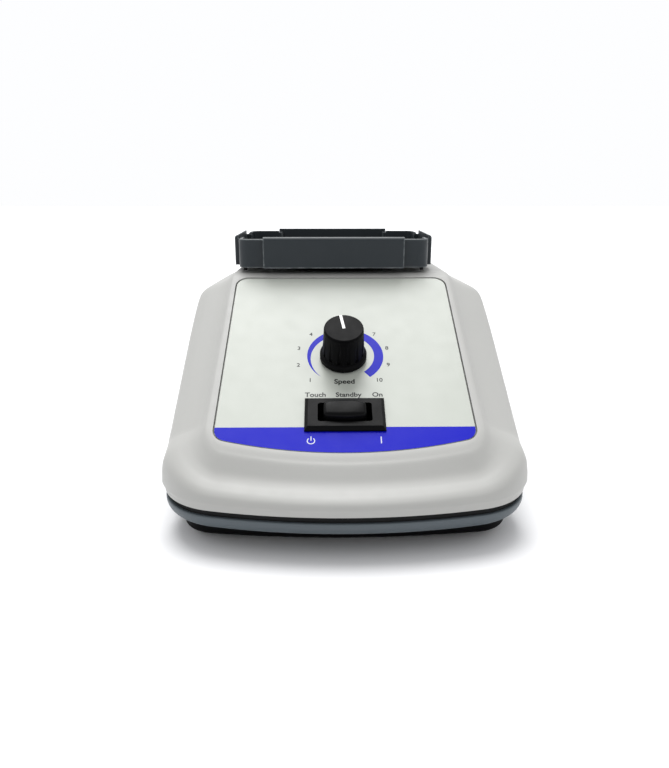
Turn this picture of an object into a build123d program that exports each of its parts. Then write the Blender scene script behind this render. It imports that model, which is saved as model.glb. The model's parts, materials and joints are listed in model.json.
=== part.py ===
from build123d import *
import os
from math import cos, pi, radians, sin, tan

# Microplate vortex mixer, free-standing. Millimetres, +Z up, front towards -Y.
# The origin is under the middle of the whole object, on the surface it stands on.

# ---------------------------------------------------------------- case
FRONT_Y = -135.0            # middle of the bowed front edge, at the seam
BACK_Y = 135.0
FRONT_HALF_WIDTH = 104.8    # where the front edge would meet the side, before rounding
BACK_HALF_WIDTH = 92.0
FRONT_BOW = 19.0            # how far the front edge is bowed over its width
BACK_BOW = 4.0
FRONT_CORNER_R = 40.0
BACK_CORNER_R = 34.0
WALL = 3.0
SEAM_Z = 25.0               # lower edge of the top shell
TOP_Z = 130.0               # flat top under the tray
LEDGE_Z = 40.0              # ledge in front of the raised panel block
SHOULDER_R = 12.0

# ---------------------------------------------------------------- raised panel block
PANEL_SLOPE = 30.42         # degrees from level
PANEL_TOP_Y = 24.0          # middle of the overlay's upper edge
PANEL_TOP_Z = 127.3
LEDGE_DROP = 15.0           # the side ledge runs this far under the panel's plane
LEDGE_BACK_DROP = 18.0      # and this far under the flat top, behind
LEDGE_BEND_R = 50.0
PANEL_BEND_R = 18.0
BLOCK_FRONT_Y = -112.3
BLOCK_BACK_Y = 119.0
BLOCK_FRONT_HALF = 79.3
BLOCK_BACK_HALF = 74.0
BLOCK_BOW = 10.0
BLOCK_BACK_BOW = 2.5
BLOCK_FRONT_R = 16.0
BLOCK_BACK_R = 22.0
BLOCK_EDGE_R = 3.0
BLOCK_FOOT_R = 3.6

# ---------------------------------------------------------------- control panel
OVERLAY_TOP_HALF = 71.8
OVERLAY_BOTTOM_HALF = 73.3
OVERLAY_SIDE = 141.7        # length of the overlay's straight sides
OVERLAY_LENGTH = 151.9      # at the middle of the bowed lower edge
OVERLAY_CORNER_R = 8.0
OVERLAY_THICK = 0.5
RECESS_DEPTH = 1.0
RECESS_GAP = 0.8
KNOB_T = 78.4               # knob axis, down the slope from the overlay's upper edge
SWITCH_T = 125.2            # switch centre, down the slope

# ---------------------------------------------------------------- knob and speed control
KNOB_GAP = 0.7
KNOB_SKIRT_R = 14.4
KNOB_SKIRT_H = 4.2
KNOB_GRIP_LOW_R = 12.9
KNOB_GRIP_TOP_R = 11.9
KNOB_TOP = 24.3             # above the panel's plane
KNOB_FLUTES = 14
KNOB_FLUTE_R = 1.25
POT_SHAFT_R = 3.0
POT_SHAFT_LOW = -9.0
POT_SHAFT_TOP = 19.0
POT_BUSH_R = 3.5
POT_BUSH_TOP = 4.6
POT_BODY_R = 8.5
POT_BODY_LOW = -12.5
POT_TAG_PITCH = 5.0
POT_TAG_V = 11.0            # middle of the three tags, up the slope from the axis
POT_TAG_N = -10.0
POT_TAG_LENGTH = 7.0
NUT_R = 5.8
NUT_H = 2.2
KNOB_HOLLOW_R = 8.5
KNOB_HOLLOW_TOP = 5.2
POINTER_ANGLE = 99.0        # pointer at rest, counter-clockwise from +X, seen from outside

# ---------------------------------------------------------------- rocker switch
BEZEL_W = 46.0
BEZEL_H = 24.2
BEZEL_PROUD = 2.5
BEZEL_BEVEL = 1.9
WINDOW_W = 31.0
WINDOW_H = 13.9
SWITCH_BODY_W = 36.6
SWITCH_BODY_H = 20.6
ROCKER_HALF_W = 12.2
ROCKER_HALF_H = 6.3
ROCKER_CREST = 8.6
ROCKER_DOME = 3.6           # how far the crest falls to the ends
ROCKER_BOW = 1.5            # how far the long edges are bowed
ROCKER_EDGE_R = 1.2
ROCKER_END_N = -1.0
ROCKER_LOW_N = -7.0
ROCKER_HEEL = 5.0
ROCKER_PIVOT_N = -3.0       # pivot, measured along the panel's normal

# ---------------------------------------------------------------- drive
HEAD_X = -2.5               # motor axis
HEAD_Y = 76.0
ECCENTRIC = 2.45            # radius of the orbit
PIN_X = HEAD_X - ECCENTRIC  # axis of the eccentric pin and middle of the tray, at rest
PRESS_TRAVEL = 0.8          # how far the tray can be pressed down
SHAFT_R = 4.0
BUSH_CLEARANCE = 0.03
FLOOR_Z = 17.0              # inner floor of the bottom shell
STATOR_LOW_Z = 52.0
STATOR_TOP_Z = 76.0
ROTOR_R = 16.0
AIR_GAP = 0.4
BEARING_BORE_R = 4.0
BEARING_R = 11.0
BEARING_LOW_Z = 117.0
BEARING_W = 7.0
BEARING_TOP_Z = BEARING_LOW_Z + BEARING_W
BALL_PITCH_R = 7.5
BALL_R = 1.98
BALLS = 7

# ---------------------------------------------------------------- tray
PLATE_W = 127.76            # a standard microplate
PLATE_D = 85.48
PLATE_PLAY_X = 1.04         # total play of the plate between the tray's walls
PLATE_PLAY_Y = 1.32
TRAY_WALL = 2.6
TRAY_W = PLATE_W + PLATE_PLAY_X + 2 * TRAY_WALL
TRAY_D = PLATE_D + PLATE_PLAY_Y + 2 * TRAY_WALL
TRAY_LOW_Z = 133.8
TRAY_FLOOR = 3.0
CORNER_TOP_Z = 153.4
PANEL_WALL_TOP_Z = 155.0
TRAY_CORNER_R = 8.0
PANEL_PROUD = 4.3           # the middle walls stand this far outside the corner walls
FRONT_WALL_HALF = 49.0
BACK_WALL_HALF = 44.0
SIDE_WALL_HALF = 27.0
TRAY_RIM_R = 1.2
RETURN_DROP = 1.2           # the returns between corner and middle walls stop this far below the corners

# ---------------------------------------------------------------- base
BASE_LOW_Z = 4.0
BASE_TOP_Z = 14.5
BASE_FRONT_Y = -119.6
BASE_BACK_Y = 120.0
BASE_FRONT_HALF = 93.0
BASE_BACK_HALF = 80.0
BASE_FRONT_BOW = 9.0
BASE_BACK_BOW = 3.0
BASE_FRONT_R = 20.0
BASE_BACK_R = 22.0
BAND_LOW_Z = 13.0
BAND_TOP_Z = 21.4
BAND_INSET = 0.4
BAND_LOW_R = 7.0            # the band curves well under the case
BAND_TOP_R = 0.8
BASE_LOW_R = 3.5
GASKET_INSET = 2.2
TONGUE_INSET = 3.4
TONGUE_TOP_Z = 30.0
TONGUE_WALL = 2.4
FOOT_R = 9.0
FOOT_STEM_R = 3.0
FOOT_SEAT_Z = BASE_LOW_Z + 1.5
HEAD_SEAT_Z = BASE_LOW_Z + 4.0      # where the screw heads under the base sit
HEAD_POCKET_R = 4.2
SCREW_HEAD_R = 3.8
SCREW_HEAD_H = 3.0
SOCKET_R = 1.7
SCREW_R = 2.0
TAPPED_R = SCREW_R + 0.02           # hole that a screw bites in
CLEAR_R = SCREW_R + 0.3             # hole that a screw passes through
SMALL_SCREW_R = 1.5
SMALL_TAPPED_R = SMALL_SCREW_R + 0.02
SMALL_CLEAR_R = SMALL_SCREW_R + 0.2

TOWER_TOP_Z = 32.0          # where the two case shells' screw towers meet
TOWER_GAP = 0.4
TOWER_R = 5.0
LOW_TOWER_R = 5.5
CASE_SCREW_TOP_Z = TOWER_TOP_Z + 8.0
POST_TOP_Z = 38.0           # motor posts
LOWER_BRACKET_Z = 42.0
BOARD_Z = 25.0
HEAD_HOLE_R = 25.0

CASE_SCREWS = [(-80.0, -84.0), (80.0, -84.0), (-72.0, 104.0), (72.0, 104.0)]
BASE_SCREWS = [(-40.0, -94.0), (40.0, -94.0), (-64.0, 20.0), (64.0, 20.0)]
FEET = [(-66.0, -88.0), (66.0, -88.0), (-62.0, 92.0), (62.0, 92.0)]
MOTOR_POSTS = [(HEAD_X + dx, HEAD_Y + dy) for dx in (-36.0, 36.0) for dy in (-16.0, 16.0)]
MOTOR_BOLTS = [(HEAD_X + dx, HEAD_Y + dy) for dx in (-25.0, 25.0) for dy in (-16.0, 16.0)]
BOARD_POSTS = [(x, y) for x in (-50.0, 50.0) for y in (-66.0, -12.0)]

# ---------------------------------------------------------------- power inlet
INLET_X = 28.0
INLET_Z = 58.0
INLET_W = 50.0
INLET_H = 28.0
INLET_BODY_W = 27.8
INLET_BODY_H = 20.8
INLET_BACK_Y = 112.0
POCKET_Y = 130.0            # floor of the pocket round the inlet
VENT_W = 3.2
VENT_LOW_Z = 44.0
VENT_HIGH_Z = 72.0
VENTS = [-58.0 + 8.0 * i for i in range(7)]

INLET_FLANGE = 2.6
INLET_PIN_PITCH = 7.0
SOCKET_W = 24.2
SOCKET_H = 16.4
INLET_SCREWS = [INLET_X - 20.0, INLET_X + 20.0]

# ---------------------------------------------------------------- small parts
CAP_THICK = 1.2
POINTER_W = 1.7
POINTER_DEPTH = 0.7
SWITCH_BASE_N = -16.0       # where the switch body meets its contact block
SWITCH_BASE_H = 8.0
BLADE_W = 6.3
BLADE_THICK = 0.8
BLADE_LENGTH = 8.0
BLADE_X = 12.0
BLADE_V = 5.0
THROUGH = 12.0              # a cut this deep goes right through a wall
BEYOND = 160.0              # further out than any part of the case
UNDER = 10.0                # lower than any part of the top shell
TINY = 0.01
PLAY = 0.2                  # all round a piece set in a hole
WINDOW_FLOOR_N = -10.0
ROCKER_PIN_R = 1.2
ROCKER_PIN_LENGTH = 17.0
PAN_HEAD_R = 2.8
PAN_HEAD_H = 1.6
BOARD_TOP_Z = BOARD_Z + 1.6
BOARD_HALF_W = 55.0
BOARD_FRONT_Y = -72.0
BOARD_BACK_Y = -6.0
SINK_X = 14.0
SINK_Y = -36.0
SINK_W = 28.0
SINK_DEPTH = 14.0
SINK_PLATE = 3.0
SINK_FIN = 1.4
SINK_FINS = 7
SINK_TOP_Z = 54.0
TRIAC_W = 10.0
TRIAC_DEPTH = 4.5
TRIAC_LOW_Z = 34.0
TRIAC_TOP_Z = 49.0
TRIAC_LEG_PITCH = 2.2
TRANSFORMER_PLACE = (-33.0, -38.0)
TRANSFORMER_TOP_Z = 50.0
CAN_CAPACITORS = [(6.0, 17.4, -6.0, -56.0), (4.0, 11.4, 8.0, -58.0)]     # radius, height, x and y
FUSE_PLACE = (34.0, -54.0, 31.0)
FUSE_R = 2.6
FUSE_LENGTH = 20.0
TERMINAL_PLACE = (34.0, -15.0)
TERMINAL_PITCH = 6.0
TERMINAL_TOP_Z = 37.0
MAINS_RUN_X = 52.0          # the mains leads pass the motor here
MAINS_RUN_PITCH = 2.8
MAINS_LEAD_R = 1.1
MOTOR_LEAD_R = 1.0
CONTROL_LEAD_R = 0.8
LEAD_BEND_R = 3.0
COIL_FRONT_Y = HEAD_Y - 54.0
BUSH_R = 7.0
CUP_FLOOR_Z = 30.0
CUP_TOP_Z = 34.0
STEM_R = 6.0
STEM_LOW_Z = 22.0
GUIDE_TOP_Z = 26.0
SPRING_PITCH = 2.6
HUB_LOW_Z = 101.0
HUB_TOP_Z = 113.0
SKIRT_LOW_Z = 131.9
SKIRT_R = 38.5
COLLAR_R = 31.5
COLLAR_H = 2.6
BUMPER_R = 1.4
BUMPER_H = 2.7
BUMPER_STEM_R = 0.9
PLATFORM_SCREWS = [(PIN_X + dx, HEAD_Y + dy) for dx in (-12.0, 12.0) for dy in (-12.0, 12.0)]
BUMPERS = [(PIN_X + dx, HEAD_Y + dy) for dx in (-63.0, 63.0) for dy in (-38.0, 38.0)]

slope = radians(PANEL_SLOPE)
panel = Plane(origin=(0, PANEL_TOP_Y, PANEL_TOP_Z), x_dir=(1, 0, 0), z_dir=(0, -sin(slope), cos(slope)))
PANEL_BACK_N = -WALL * cos(slope)   # inner face of the sloped wall, along the normal
os.makedirs("parts", exist_ok=True)


def save(node, shape):
    """Write one sub-part and print its volume."""
    export_step(shape, f"parts/{node}.step")
    print(f"{node:22s} {shape.volume / 1000:9.2f} cm3")


def panel_z(y):
    """Height of the panel's plane at a given y."""
    return PANEL_TOP_Z - (PANEL_TOP_Y - y) * tan(slope)


def panel_y(z):
    """Where the panel's plane reaches a given height."""
    return PANEL_TOP_Y + (z - PANEL_TOP_Z) / tan(slope)


def on_panel(shape, x=0.0, t=0.0, n=0.0):
    """Place a shape on the sloped panel: t runs down the slope, n outward."""
    return panel.location * Pos(x, -t, n) * shape


def rod(radius, low, high, x=0.0, y=0.0):
    """Upright cylinder between two heights."""
    return Pos(x, y, (low + high) / 2) * Cylinder(radius, high - low)


def block(x0, x1, y0, y1, z0, z1):
    """Box between two corners."""
    return Pos((x0 + x1) / 2, (y0 + y1) / 2, (z0 + z1) / 2) * Box(x1 - x0, y1 - y0, z1 - z0)


def slab(face, low, high):
    """Plan face extruded between two heights."""
    return extrude(Pos(0, 0, low) * face, amount=high - low)


def group(shapes):
    """Several separate solids as one sub-part."""
    return Compound(children=[solid for shape in shapes for solid in shape.solids()])


# ================================================================ case shells
def bowed_plan(front_half, front_y, front_bow, back_half, back_y, back_bow, front_r, back_r):
    """Plan outline with bowed front and back edges and rounded corners."""
    left_front = (-front_half, front_y + front_bow)
    right_front = (front_half, front_y + front_bow)
    left_back = (-back_half, back_y - back_bow)
    right_back = (back_half, back_y - back_bow)
    edges = [
        ThreePointArc(left_front, (0, front_y), right_front),
        Line(right_front, right_back),
        ThreePointArc(right_back, (0, back_y), left_back),
        Line(left_back, left_front),
    ]
    face = make_face(edges)
    corners = face.vertices().sort_by(Axis.Y)
    face = fillet(corners[:2], radius=front_r)
    corners = face.vertices().sort_by(Axis.Y)[-2:]
    return fillet(corners, radius=back_r)


def case_plan(inset=0.0):
    face = bowed_plan(FRONT_HALF_WIDTH, FRONT_Y, FRONT_BOW, BACK_HALF_WIDTH, BACK_Y, BACK_BOW,
                      FRONT_CORNER_R, BACK_CORNER_R)
    return offset(face, amount=-inset) if inset else face


def base_plan(grow=0.0):
    face = bowed_plan(BASE_FRONT_HALF, BASE_FRONT_Y, BASE_FRONT_BOW,
                      BASE_BACK_HALF, BASE_BACK_Y, BASE_BACK_BOW, BASE_FRONT_R, BASE_BACK_R)
    return offset(face, amount=grow) if grow else face


def block_plan(inset=0.0):
    face = bowed_plan(BLOCK_FRONT_HALF, BLOCK_FRONT_Y, BLOCK_BOW,
                      BLOCK_BACK_HALF, BLOCK_BACK_Y, BLOCK_BACK_BOW, BLOCK_FRONT_R, BLOCK_BACK_R)
    return offset(face, amount=-inset) if inset else face


def side_profile(line, radii):
    """Solid under a height line given in y and z, right across the object."""
    face = make_face(Polyline([(-BEYOND, UNDER)] + line + [(BEYOND, UNDER)], close=True))
    for (y, z), radius in radii:
        corner = face.vertices().sort_by_distance((y, z, 0))[0]
        face = fillet(corner, radius=radius)
    half = FRONT_HALF_WIDTH + WALL
    return extrude(Plane(origin=(-half, 0, 0), x_dir=(0, 1, 0), z_dir=(1, 0, 0)) * face, amount=2 * half)


def ledge_profile(drop):
    """The lower body's top: level in front, parallel to the panel, level behind."""
    front_z = LEDGE_Z - drop
    back_z = TOP_Z - LEDGE_BACK_DROP - drop
    shift = LEDGE_DROP + drop
    y_low = panel_y(front_z + shift)
    y_high = panel_y(back_z + shift)
    line = [(-BEYOND, front_z), (y_low, front_z), (y_high, back_z), (BEYOND, back_z)]
    return side_profile(line, [((y_low, front_z), LEDGE_BEND_R), ((y_high, back_z), LEDGE_BEND_R)])


def block_profile(drop):
    """The raised block's top: the panel's plane, then the flat top."""
    top = TOP_Z - drop
    y_high = panel_y(TOP_Z)
    line = [(-BEYOND, panel_z(-BEYOND) - drop), (y_high, top), (BEYOND, top)]
    return side_profile(line, [((y_high, top), PANEL_BEND_R)])


def case_solid(inset=0.0):
    """The case's outside, or its inside when inset by the wall."""
    low = SEAM_Z if inset == 0 else SEAM_Z - 1.0
    body = slab(case_plan(inset), low, BEYOND) & ledge_profile(inset)
    body = fillet(top_rim(body, low), radius=SHOULDER_R - inset)
    raised = slab(block_plan(inset), low, BEYOND) & block_profile(inset)
    if inset:
        return body + raised
    raised = fillet(top_rim(raised, low).filter_by(not_bend), radius=BLOCK_EDGE_R)
    whole = body + raised
    return fillet(whole.edges().filter_by(at_block_foot), radius=BLOCK_FOOT_R)


def top_rim(solid, low):
    """The edges round a solid's top."""
    return solid.edges().filter_by(lambda edge: edge.center().Z > low + 3 and not upright(edge))


def upright(edge):
    """True for an upright edge."""
    box = edge.bounding_box()
    return box.size.X < TINY and box.size.Y < TINY


def not_bend(edge):
    """False for the straight cross edges where a top surface bends."""
    box = edge.bounding_box()
    return not (box.size.Y < TINY and box.size.Z < TINY and box.size.X > BLOCK_BACK_HALF)


def at_block_foot(edge):
    """True for the edges where the raised block meets the ledge."""
    outline = block_plan().wires()[0]
    middle = edge.position_at(0.5)
    quarter = edge.position_at(0.1)
    on_line = max(outline.distance_to(Vector(p.X, p.Y, 0)) for p in (middle, quarter)) < 0.05
    below = middle.Z < min(panel_z(middle.Y), TOP_Z) - BLOCK_EDGE_R - 0.5
    return on_line and below and not upright(edge)


def panel_sheet(thickness, grow, top):
    """The overlay's outline as a solid, grown all round, its top face at a given n."""
    top_half = OVERLAY_TOP_HALF + grow
    low_half = OVERLAY_BOTTOM_HALF + grow
    side = -(OVERLAY_SIDE + grow)
    edges = [
        Line((-top_half, grow), (top_half, grow)),
        Line((top_half, grow), (low_half, side)),
        ThreePointArc((low_half, side), (0, -(OVERLAY_LENGTH + grow)), (-low_half, side)),
        Line((-low_half, side), (-top_half, grow)),
    ]
    face = make_face(edges)
    face = fillet(face.vertices(), radius=OVERLAY_CORNER_R + grow)
    return on_panel(extrude(face, amount=thickness), n=top - thickness)


def panel_holes():
    """Holes for the switch body and the speed control's bush, through film and wall."""
    switch_hole = Box(SWITCH_BODY_W + 2 * PLAY, SWITCH_BODY_H + 2 * PLAY, THROUGH)
    return group([on_panel(switch_hole, t=SWITCH_T), on_panel(Cylinder(POT_BUSH_R + 0.1, THROUGH), t=KNOB_T)])


def around_inlet(width, height, y_front, y_back):
    """Box round the inlet's middle between two values of y."""
    return Pos(INLET_X, (y_front + y_back) / 2, INLET_Z) * Box(width, y_back - y_front, height)


def make_top_shell():
    """Off-white upper case: panel recess, openings, screw towers and the rear pocket."""
    clip = slab(case_plan(WALL / 2), SEAM_Z + 1, TOP_Z) & ledge_profile(WALL / 2)
    shell = case_solid() - case_solid(WALL)
    shell += around_inlet(INLET_W + 2 * WALL, INLET_H + 2 * WALL, POCKET_Y - WALL, BACK_Y) & clip
    for x, y in CASE_SCREWS:
        shell += rod(TOWER_R, TOWER_TOP_Z, TOP_Z, x, y) & clip
    shell -= panel_sheet(THROUGH, RECESS_GAP, THROUGH - RECESS_DEPTH)
    shell -= panel_holes()
    shell -= rod(HEAD_HOLE_R, TOP_Z - THROUGH, TOP_Z + THROUGH, HEAD_X, HEAD_Y)
    shell -= around_inlet(INLET_W, INLET_H, POCKET_Y, BACK_Y + 1)
    shell -= around_inlet(INLET_BODY_W + 2 * PLAY, INLET_BODY_H + 2 * PLAY, INLET_BACK_Y, BACK_Y + 1)
    for x in VENTS:
        shell -= block(x, x + VENT_W, BACK_Y - THROUGH, BACK_Y + 1, VENT_LOW_Z, VENT_HIGH_Z)
    for x, y in CASE_SCREWS:
        shell -= rod(TAPPED_R, SEAM_Z, CASE_SCREW_TOP_Z + 1, x, y)
    for x in INLET_SCREWS:
        shell -= Pos(x, POCKET_Y, INLET_Z) * Rot(90, 0, 0) * Cylinder(SMALL_TAPPED_R, 12)
    return shell


def make_bottom_shell():
    """Grey lower case: the band with the recess for the base, the tongue, and the posts inside."""
    band = slab(case_plan(BAND_INSET), BAND_LOW_Z, BAND_TOP_Z)
    band = fillet(band.faces().sort_by(Axis.Z)[0].edges(), radius=BAND_LOW_R)
    band = fillet(band.faces().sort_by(Axis.Z)[-1].edges(), radius=BAND_TOP_R)
    shell = band - slab(base_plan(PLAY), 0, BASE_TOP_Z)
    shell += slab(case_plan(TONGUE_INSET), BAND_TOP_Z - 1, TONGUE_TOP_Z)
    shell -= slab(case_plan(TONGUE_INSET + TONGUE_WALL), FLOOR_Z, TONGUE_TOP_Z + 1)
    for x, y in CASE_SCREWS:
        shell += rod(LOW_TOWER_R, FLOOR_Z - 1, TOWER_TOP_Z - TOWER_GAP, x, y)
        shell -= rod(CLEAR_R, 0, TOWER_TOP_Z + 1, x, y)
    for x, y in MOTOR_POSTS:
        shell += rod(TOWER_R, FLOOR_Z - 1, POST_TOP_Z, x, y)
        shell -= rod(TAPPED_R, FLOOR_Z + 2, POST_TOP_Z + 1, x, y)
    for x, y in BOARD_POSTS:
        shell += rod(3.5, FLOOR_Z - 1, BOARD_Z, x, y)
        shell -= rod(SMALL_TAPPED_R, FLOOR_Z + 1, BOARD_Z + 1, x, y)
    for x, y in BASE_SCREWS:
        shell += rod(4.0, FLOOR_Z - 1, FLOOR_Z + 6, x, y)
        shell -= rod(TAPPED_R, 0, FLOOR_Z + 5, x, y)
    return shell


def make_seam_gasket():
    """Soft strip between the two shells, seen as the dark line round the case."""
    opening = slab(case_plan(TONGUE_INSET - 0.1), BAND_TOP_Z - 1, SEAM_Z + 1)
    return slab(case_plan(GASKET_INSET), BAND_TOP_Z, SEAM_Z) - opening


def make_base_plate():
    """Heavy black base under the case, with pockets for feet and screw heads."""
    plate = slab(base_plan(), BASE_LOW_Z, BASE_TOP_Z)
    plate = fillet(plate.faces().sort_by(Axis.Z)[0].edges(), radius=BASE_LOW_R)
    for x, y in FEET:
        plate -= rod(FOOT_R + 0.2, 0, FOOT_SEAT_Z, x, y)
        plate -= rod(FOOT_STEM_R + 0.02, 0, FOOT_SEAT_Z + 6.5, x, y)
    for x, y in CASE_SCREWS + BASE_SCREWS:
        plate -= rod(HEAD_POCKET_R, 0, HEAD_SEAT_Z, x, y)
        plate -= rod(CLEAR_R, 0, BASE_TOP_Z + 1, x, y)
    return plate


def make_rubber_feet():
    """Four push-in feet."""
    pad = rod(FOOT_R, 0, FOOT_SEAT_Z)
    pad = fillet(pad.edges().sort_by(Axis.Z)[0], radius=1.2)
    foot = pad + rod(FOOT_STEM_R, FOOT_SEAT_Z - 0.5, FOOT_SEAT_Z + 6)
    return group(Pos(x, y, 0) * foot for x, y in FEET)


def screw(radius, head_r, head_h, length, socket_r=0.0):
    """Screw with its head's underside at the origin, shank downwards and head upwards."""
    shape = Pos(0, 0, -length / 2) * Cylinder(radius, length)
    head = Pos(0, 0, head_h / 2) * Cylinder(head_r, head_h)
    head = fillet(head.edges().sort_by(Axis.Z)[-1], radius=head_h / 4)
    shape += head
    if socket_r:
        shape -= Pos(0, 0, head_h) * extrude(RegularPolygon(socket_r, 6), amount=-head_h / 2)
    return shape


def make_case_screws():
    """Four long screws from under the base up into the top shell's towers."""
    length = CASE_SCREW_TOP_Z - HEAD_SEAT_Z
    long_screw = Rot(180, 0, 0) * screw(SCREW_R, SCREW_HEAD_R, SCREW_HEAD_H, length, SOCKET_R)
    return group(Pos(x, y, HEAD_SEAT_Z) * long_screw for x, y in CASE_SCREWS)


def make_base_screws():
    """Four short screws that hold the base plate to the bottom shell."""
    length = FLOOR_Z + 4 - HEAD_SEAT_Z
    short_screw = Rot(180, 0, 0) * screw(SCREW_R, SCREW_HEAD_R, SCREW_HEAD_H, length, SOCKET_R)
    return group(Pos(x, y, HEAD_SEAT_Z) * short_screw for x, y in BASE_SCREWS)


# ================================================================ control panel
def make_control_overlay():
    """Printed film in the panel recess, cut out for the switch and the speed control."""
    film = panel_sheet(OVERLAY_THICK, 0, OVERLAY_THICK - RECESS_DEPTH)
    return film - panel_holes()


def upright_on_panel(radius, low, high):
    """Cylinder along the panel's normal, between two heights, before placing."""
    return Pos(0, 0, (low + high) / 2) * Cylinder(radius, high - low)


def make_knob_body():
    """Fluted grip over a round skirt, hollow underneath for the nut."""
    low = KNOB_GAP - OVERLAY_THICK
    outline = Polyline(
        (0, low), (KNOB_SKIRT_R - 0.4, low), (KNOB_SKIRT_R, low + 0.4), (KNOB_SKIRT_R, KNOB_SKIRT_H - 1.0),
        (KNOB_SKIRT_R - 0.8, KNOB_SKIRT_H), (KNOB_GRIP_LOW_R, KNOB_SKIRT_H + 0.3),
        (KNOB_GRIP_TOP_R, KNOB_TOP - CAP_THICK), (0, KNOB_TOP - CAP_THICK), close=True)
    body = revolve(Plane.XZ * make_face(outline), axis=Axis.Z)
    for i in range(KNOB_FLUTES):
        angle = 360 * i / KNOB_FLUTES
        flute = upright_on_panel(KNOB_FLUTE_R, KNOB_SKIRT_H + 1.2, KNOB_TOP)
        body -= Rot(0, 0, angle) * Pos(KNOB_GRIP_LOW_R + 0.3, 0, 0) * flute
    body -= upright_on_panel(KNOB_HOLLOW_R, -1, KNOB_HOLLOW_TOP)
    body -= upright_on_panel(POT_SHAFT_R, 0, POT_SHAFT_TOP)
    return on_panel(body, t=KNOB_T)


def pointer_bar():
    """The pointer's bar, from just past the middle to the rim, turned to its rest angle."""
    bar = block(-0.6, KNOB_GRIP_TOP_R, -POINTER_W / 2, POINTER_W / 2, KNOB_TOP - POINTER_DEPTH, KNOB_TOP + 1)
    return Rot(0, 0, POINTER_ANGLE) * bar


def cap_disc():
    disc = upright_on_panel(KNOB_GRIP_TOP_R - 0.2, KNOB_TOP - CAP_THICK, KNOB_TOP)
    return chamfer(disc.edges().sort_by(Axis.Z)[-1], length=0.45)


def make_knob_cap():
    """Disc that closes the grip's top, slotted for the pointer."""
    return on_panel(cap_disc() - pointer_bar(), t=KNOB_T)


def make_knob_pointer():
    """White pointer bar let into the cap."""
    return on_panel(cap_disc() & pointer_bar(), t=KNOB_T)


def make_pot_shaft():
    """Speed control's shaft, pressed into the knob."""
    return on_panel(upright_on_panel(POT_SHAFT_R, POT_SHAFT_LOW, POT_SHAFT_TOP), t=KNOB_T)


def make_pot_body():
    """Speed control behind the panel, with its threaded bush through the wall and three tags."""
    can = upright_on_panel(POT_BODY_R, POT_BODY_LOW, PANEL_BACK_N - 0.05)
    can += upright_on_panel(POT_BUSH_R, PANEL_BACK_N - 1, POT_BUSH_TOP)
    can -= upright_on_panel(POT_SHAFT_R + 0.05, POT_SHAFT_LOW - 0.5, POT_BUSH_TOP + 1)
    for x in (-POT_TAG_PITCH, 0.0, POT_TAG_PITCH):
        can += Pos(x, POT_TAG_V, POT_TAG_N) * Box(1.6, POT_TAG_LENGTH, 0.8)
    return on_panel(can, t=KNOB_T)


def make_pot_nut():
    """Hexagon nut and its washer on the bush, inside the knob's hollow."""
    washer_top = 0.1
    bush = Cylinder(POT_BUSH_R, THROUGH)
    nut = Pos(0, 0, washer_top) * extrude(RegularPolygon(NUT_R, 6), amount=NUT_H) - bush
    washer = upright_on_panel(NUT_R + 0.6, OVERLAY_THICK - RECESS_DEPTH, washer_top) - bush
    return group([on_panel(nut, t=KNOB_T), on_panel(washer, t=KNOB_T)])


def make_switch_frame():
    """Rocker switch's bevelled bezel with the shell of its body behind it."""
    low = -RECESS_DEPTH + OVERLAY_THICK
    bezel = Pos(0, 0, (low + BEZEL_PROUD) / 2) * Box(BEZEL_W, BEZEL_H, BEZEL_PROUD - low)
    bezel = chamfer(bezel.faces().sort_by(Axis.Z)[-1].edges(), length=BEZEL_BEVEL)
    bezel += Pos(0, 0, (low + SWITCH_BASE_N) / 2) * Box(SWITCH_BODY_W, SWITCH_BODY_H, low - SWITCH_BASE_N)
    window = RectangleRounded(WINDOW_W, WINDOW_H, 1.6)
    bezel -= extrude(Pos(0, 0, WINDOW_FLOOR_N) * window, amount=BEZEL_PROUD - WINDOW_FLOOR_N + 1)
    pin_hole = Cylinder(ROCKER_PIN_R + 0.05, ROCKER_PIN_LENGTH + 0.6)
    bezel -= Pos(0, 0, ROCKER_PIVOT_N) * Rot(90, 0, 0) * pin_hole
    return on_panel(bezel, t=SWITCH_T)


def make_switch_rocker():
    """Domed rocker, bowed along its long edges, that tips to either end."""
    end = ROCKER_HALF_H - ROCKER_BOW
    plan = make_face([
        ThreePointArc((-ROCKER_HALF_W, -end), (0, -ROCKER_HALF_H), (ROCKER_HALF_W, -end)),
        Line((ROCKER_HALF_W, -end), (ROCKER_HALF_W, end)),
        ThreePointArc((ROCKER_HALF_W, end), (0, ROCKER_HALF_H), (-ROCKER_HALF_W, end)),
        Line((-ROCKER_HALF_W, end), (-ROCKER_HALF_W, -end)),
    ])
    shoulder = ROCKER_CREST - ROCKER_DOME
    side = make_face([
        ThreePointArc((-ROCKER_HALF_W, shoulder), (0, ROCKER_CREST), (ROCKER_HALF_W, shoulder)),
        Line((ROCKER_HALF_W, shoulder), (ROCKER_HALF_W, ROCKER_END_N)),
        Polyline((ROCKER_HALF_W, ROCKER_END_N), (ROCKER_HEEL, ROCKER_LOW_N), (-ROCKER_HEEL, ROCKER_LOW_N),
                 (-ROCKER_HALF_W, ROCKER_END_N)),
        Line((-ROCKER_HALF_W, ROCKER_END_N), (-ROCKER_HALF_W, shoulder)),
    ])
    rocker = slab(plan, ROCKER_LOW_N - 1, ROCKER_CREST + 1)
    rocker &= extrude(Plane.XZ * side, amount=THROUGH, both=True)
    crest = rocker.edges().filter_by(lambda edge: edge.center().Z > shoulder - 0.1)
    rocker = fillet(crest, radius=ROCKER_EDGE_R)
    rocker -= Pos(0, 0, ROCKER_PIVOT_N) * Rot(90, 0, 0) * Cylinder(ROCKER_PIN_R, 2 * THROUGH)
    return on_panel(rocker, t=SWITCH_T)


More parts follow.
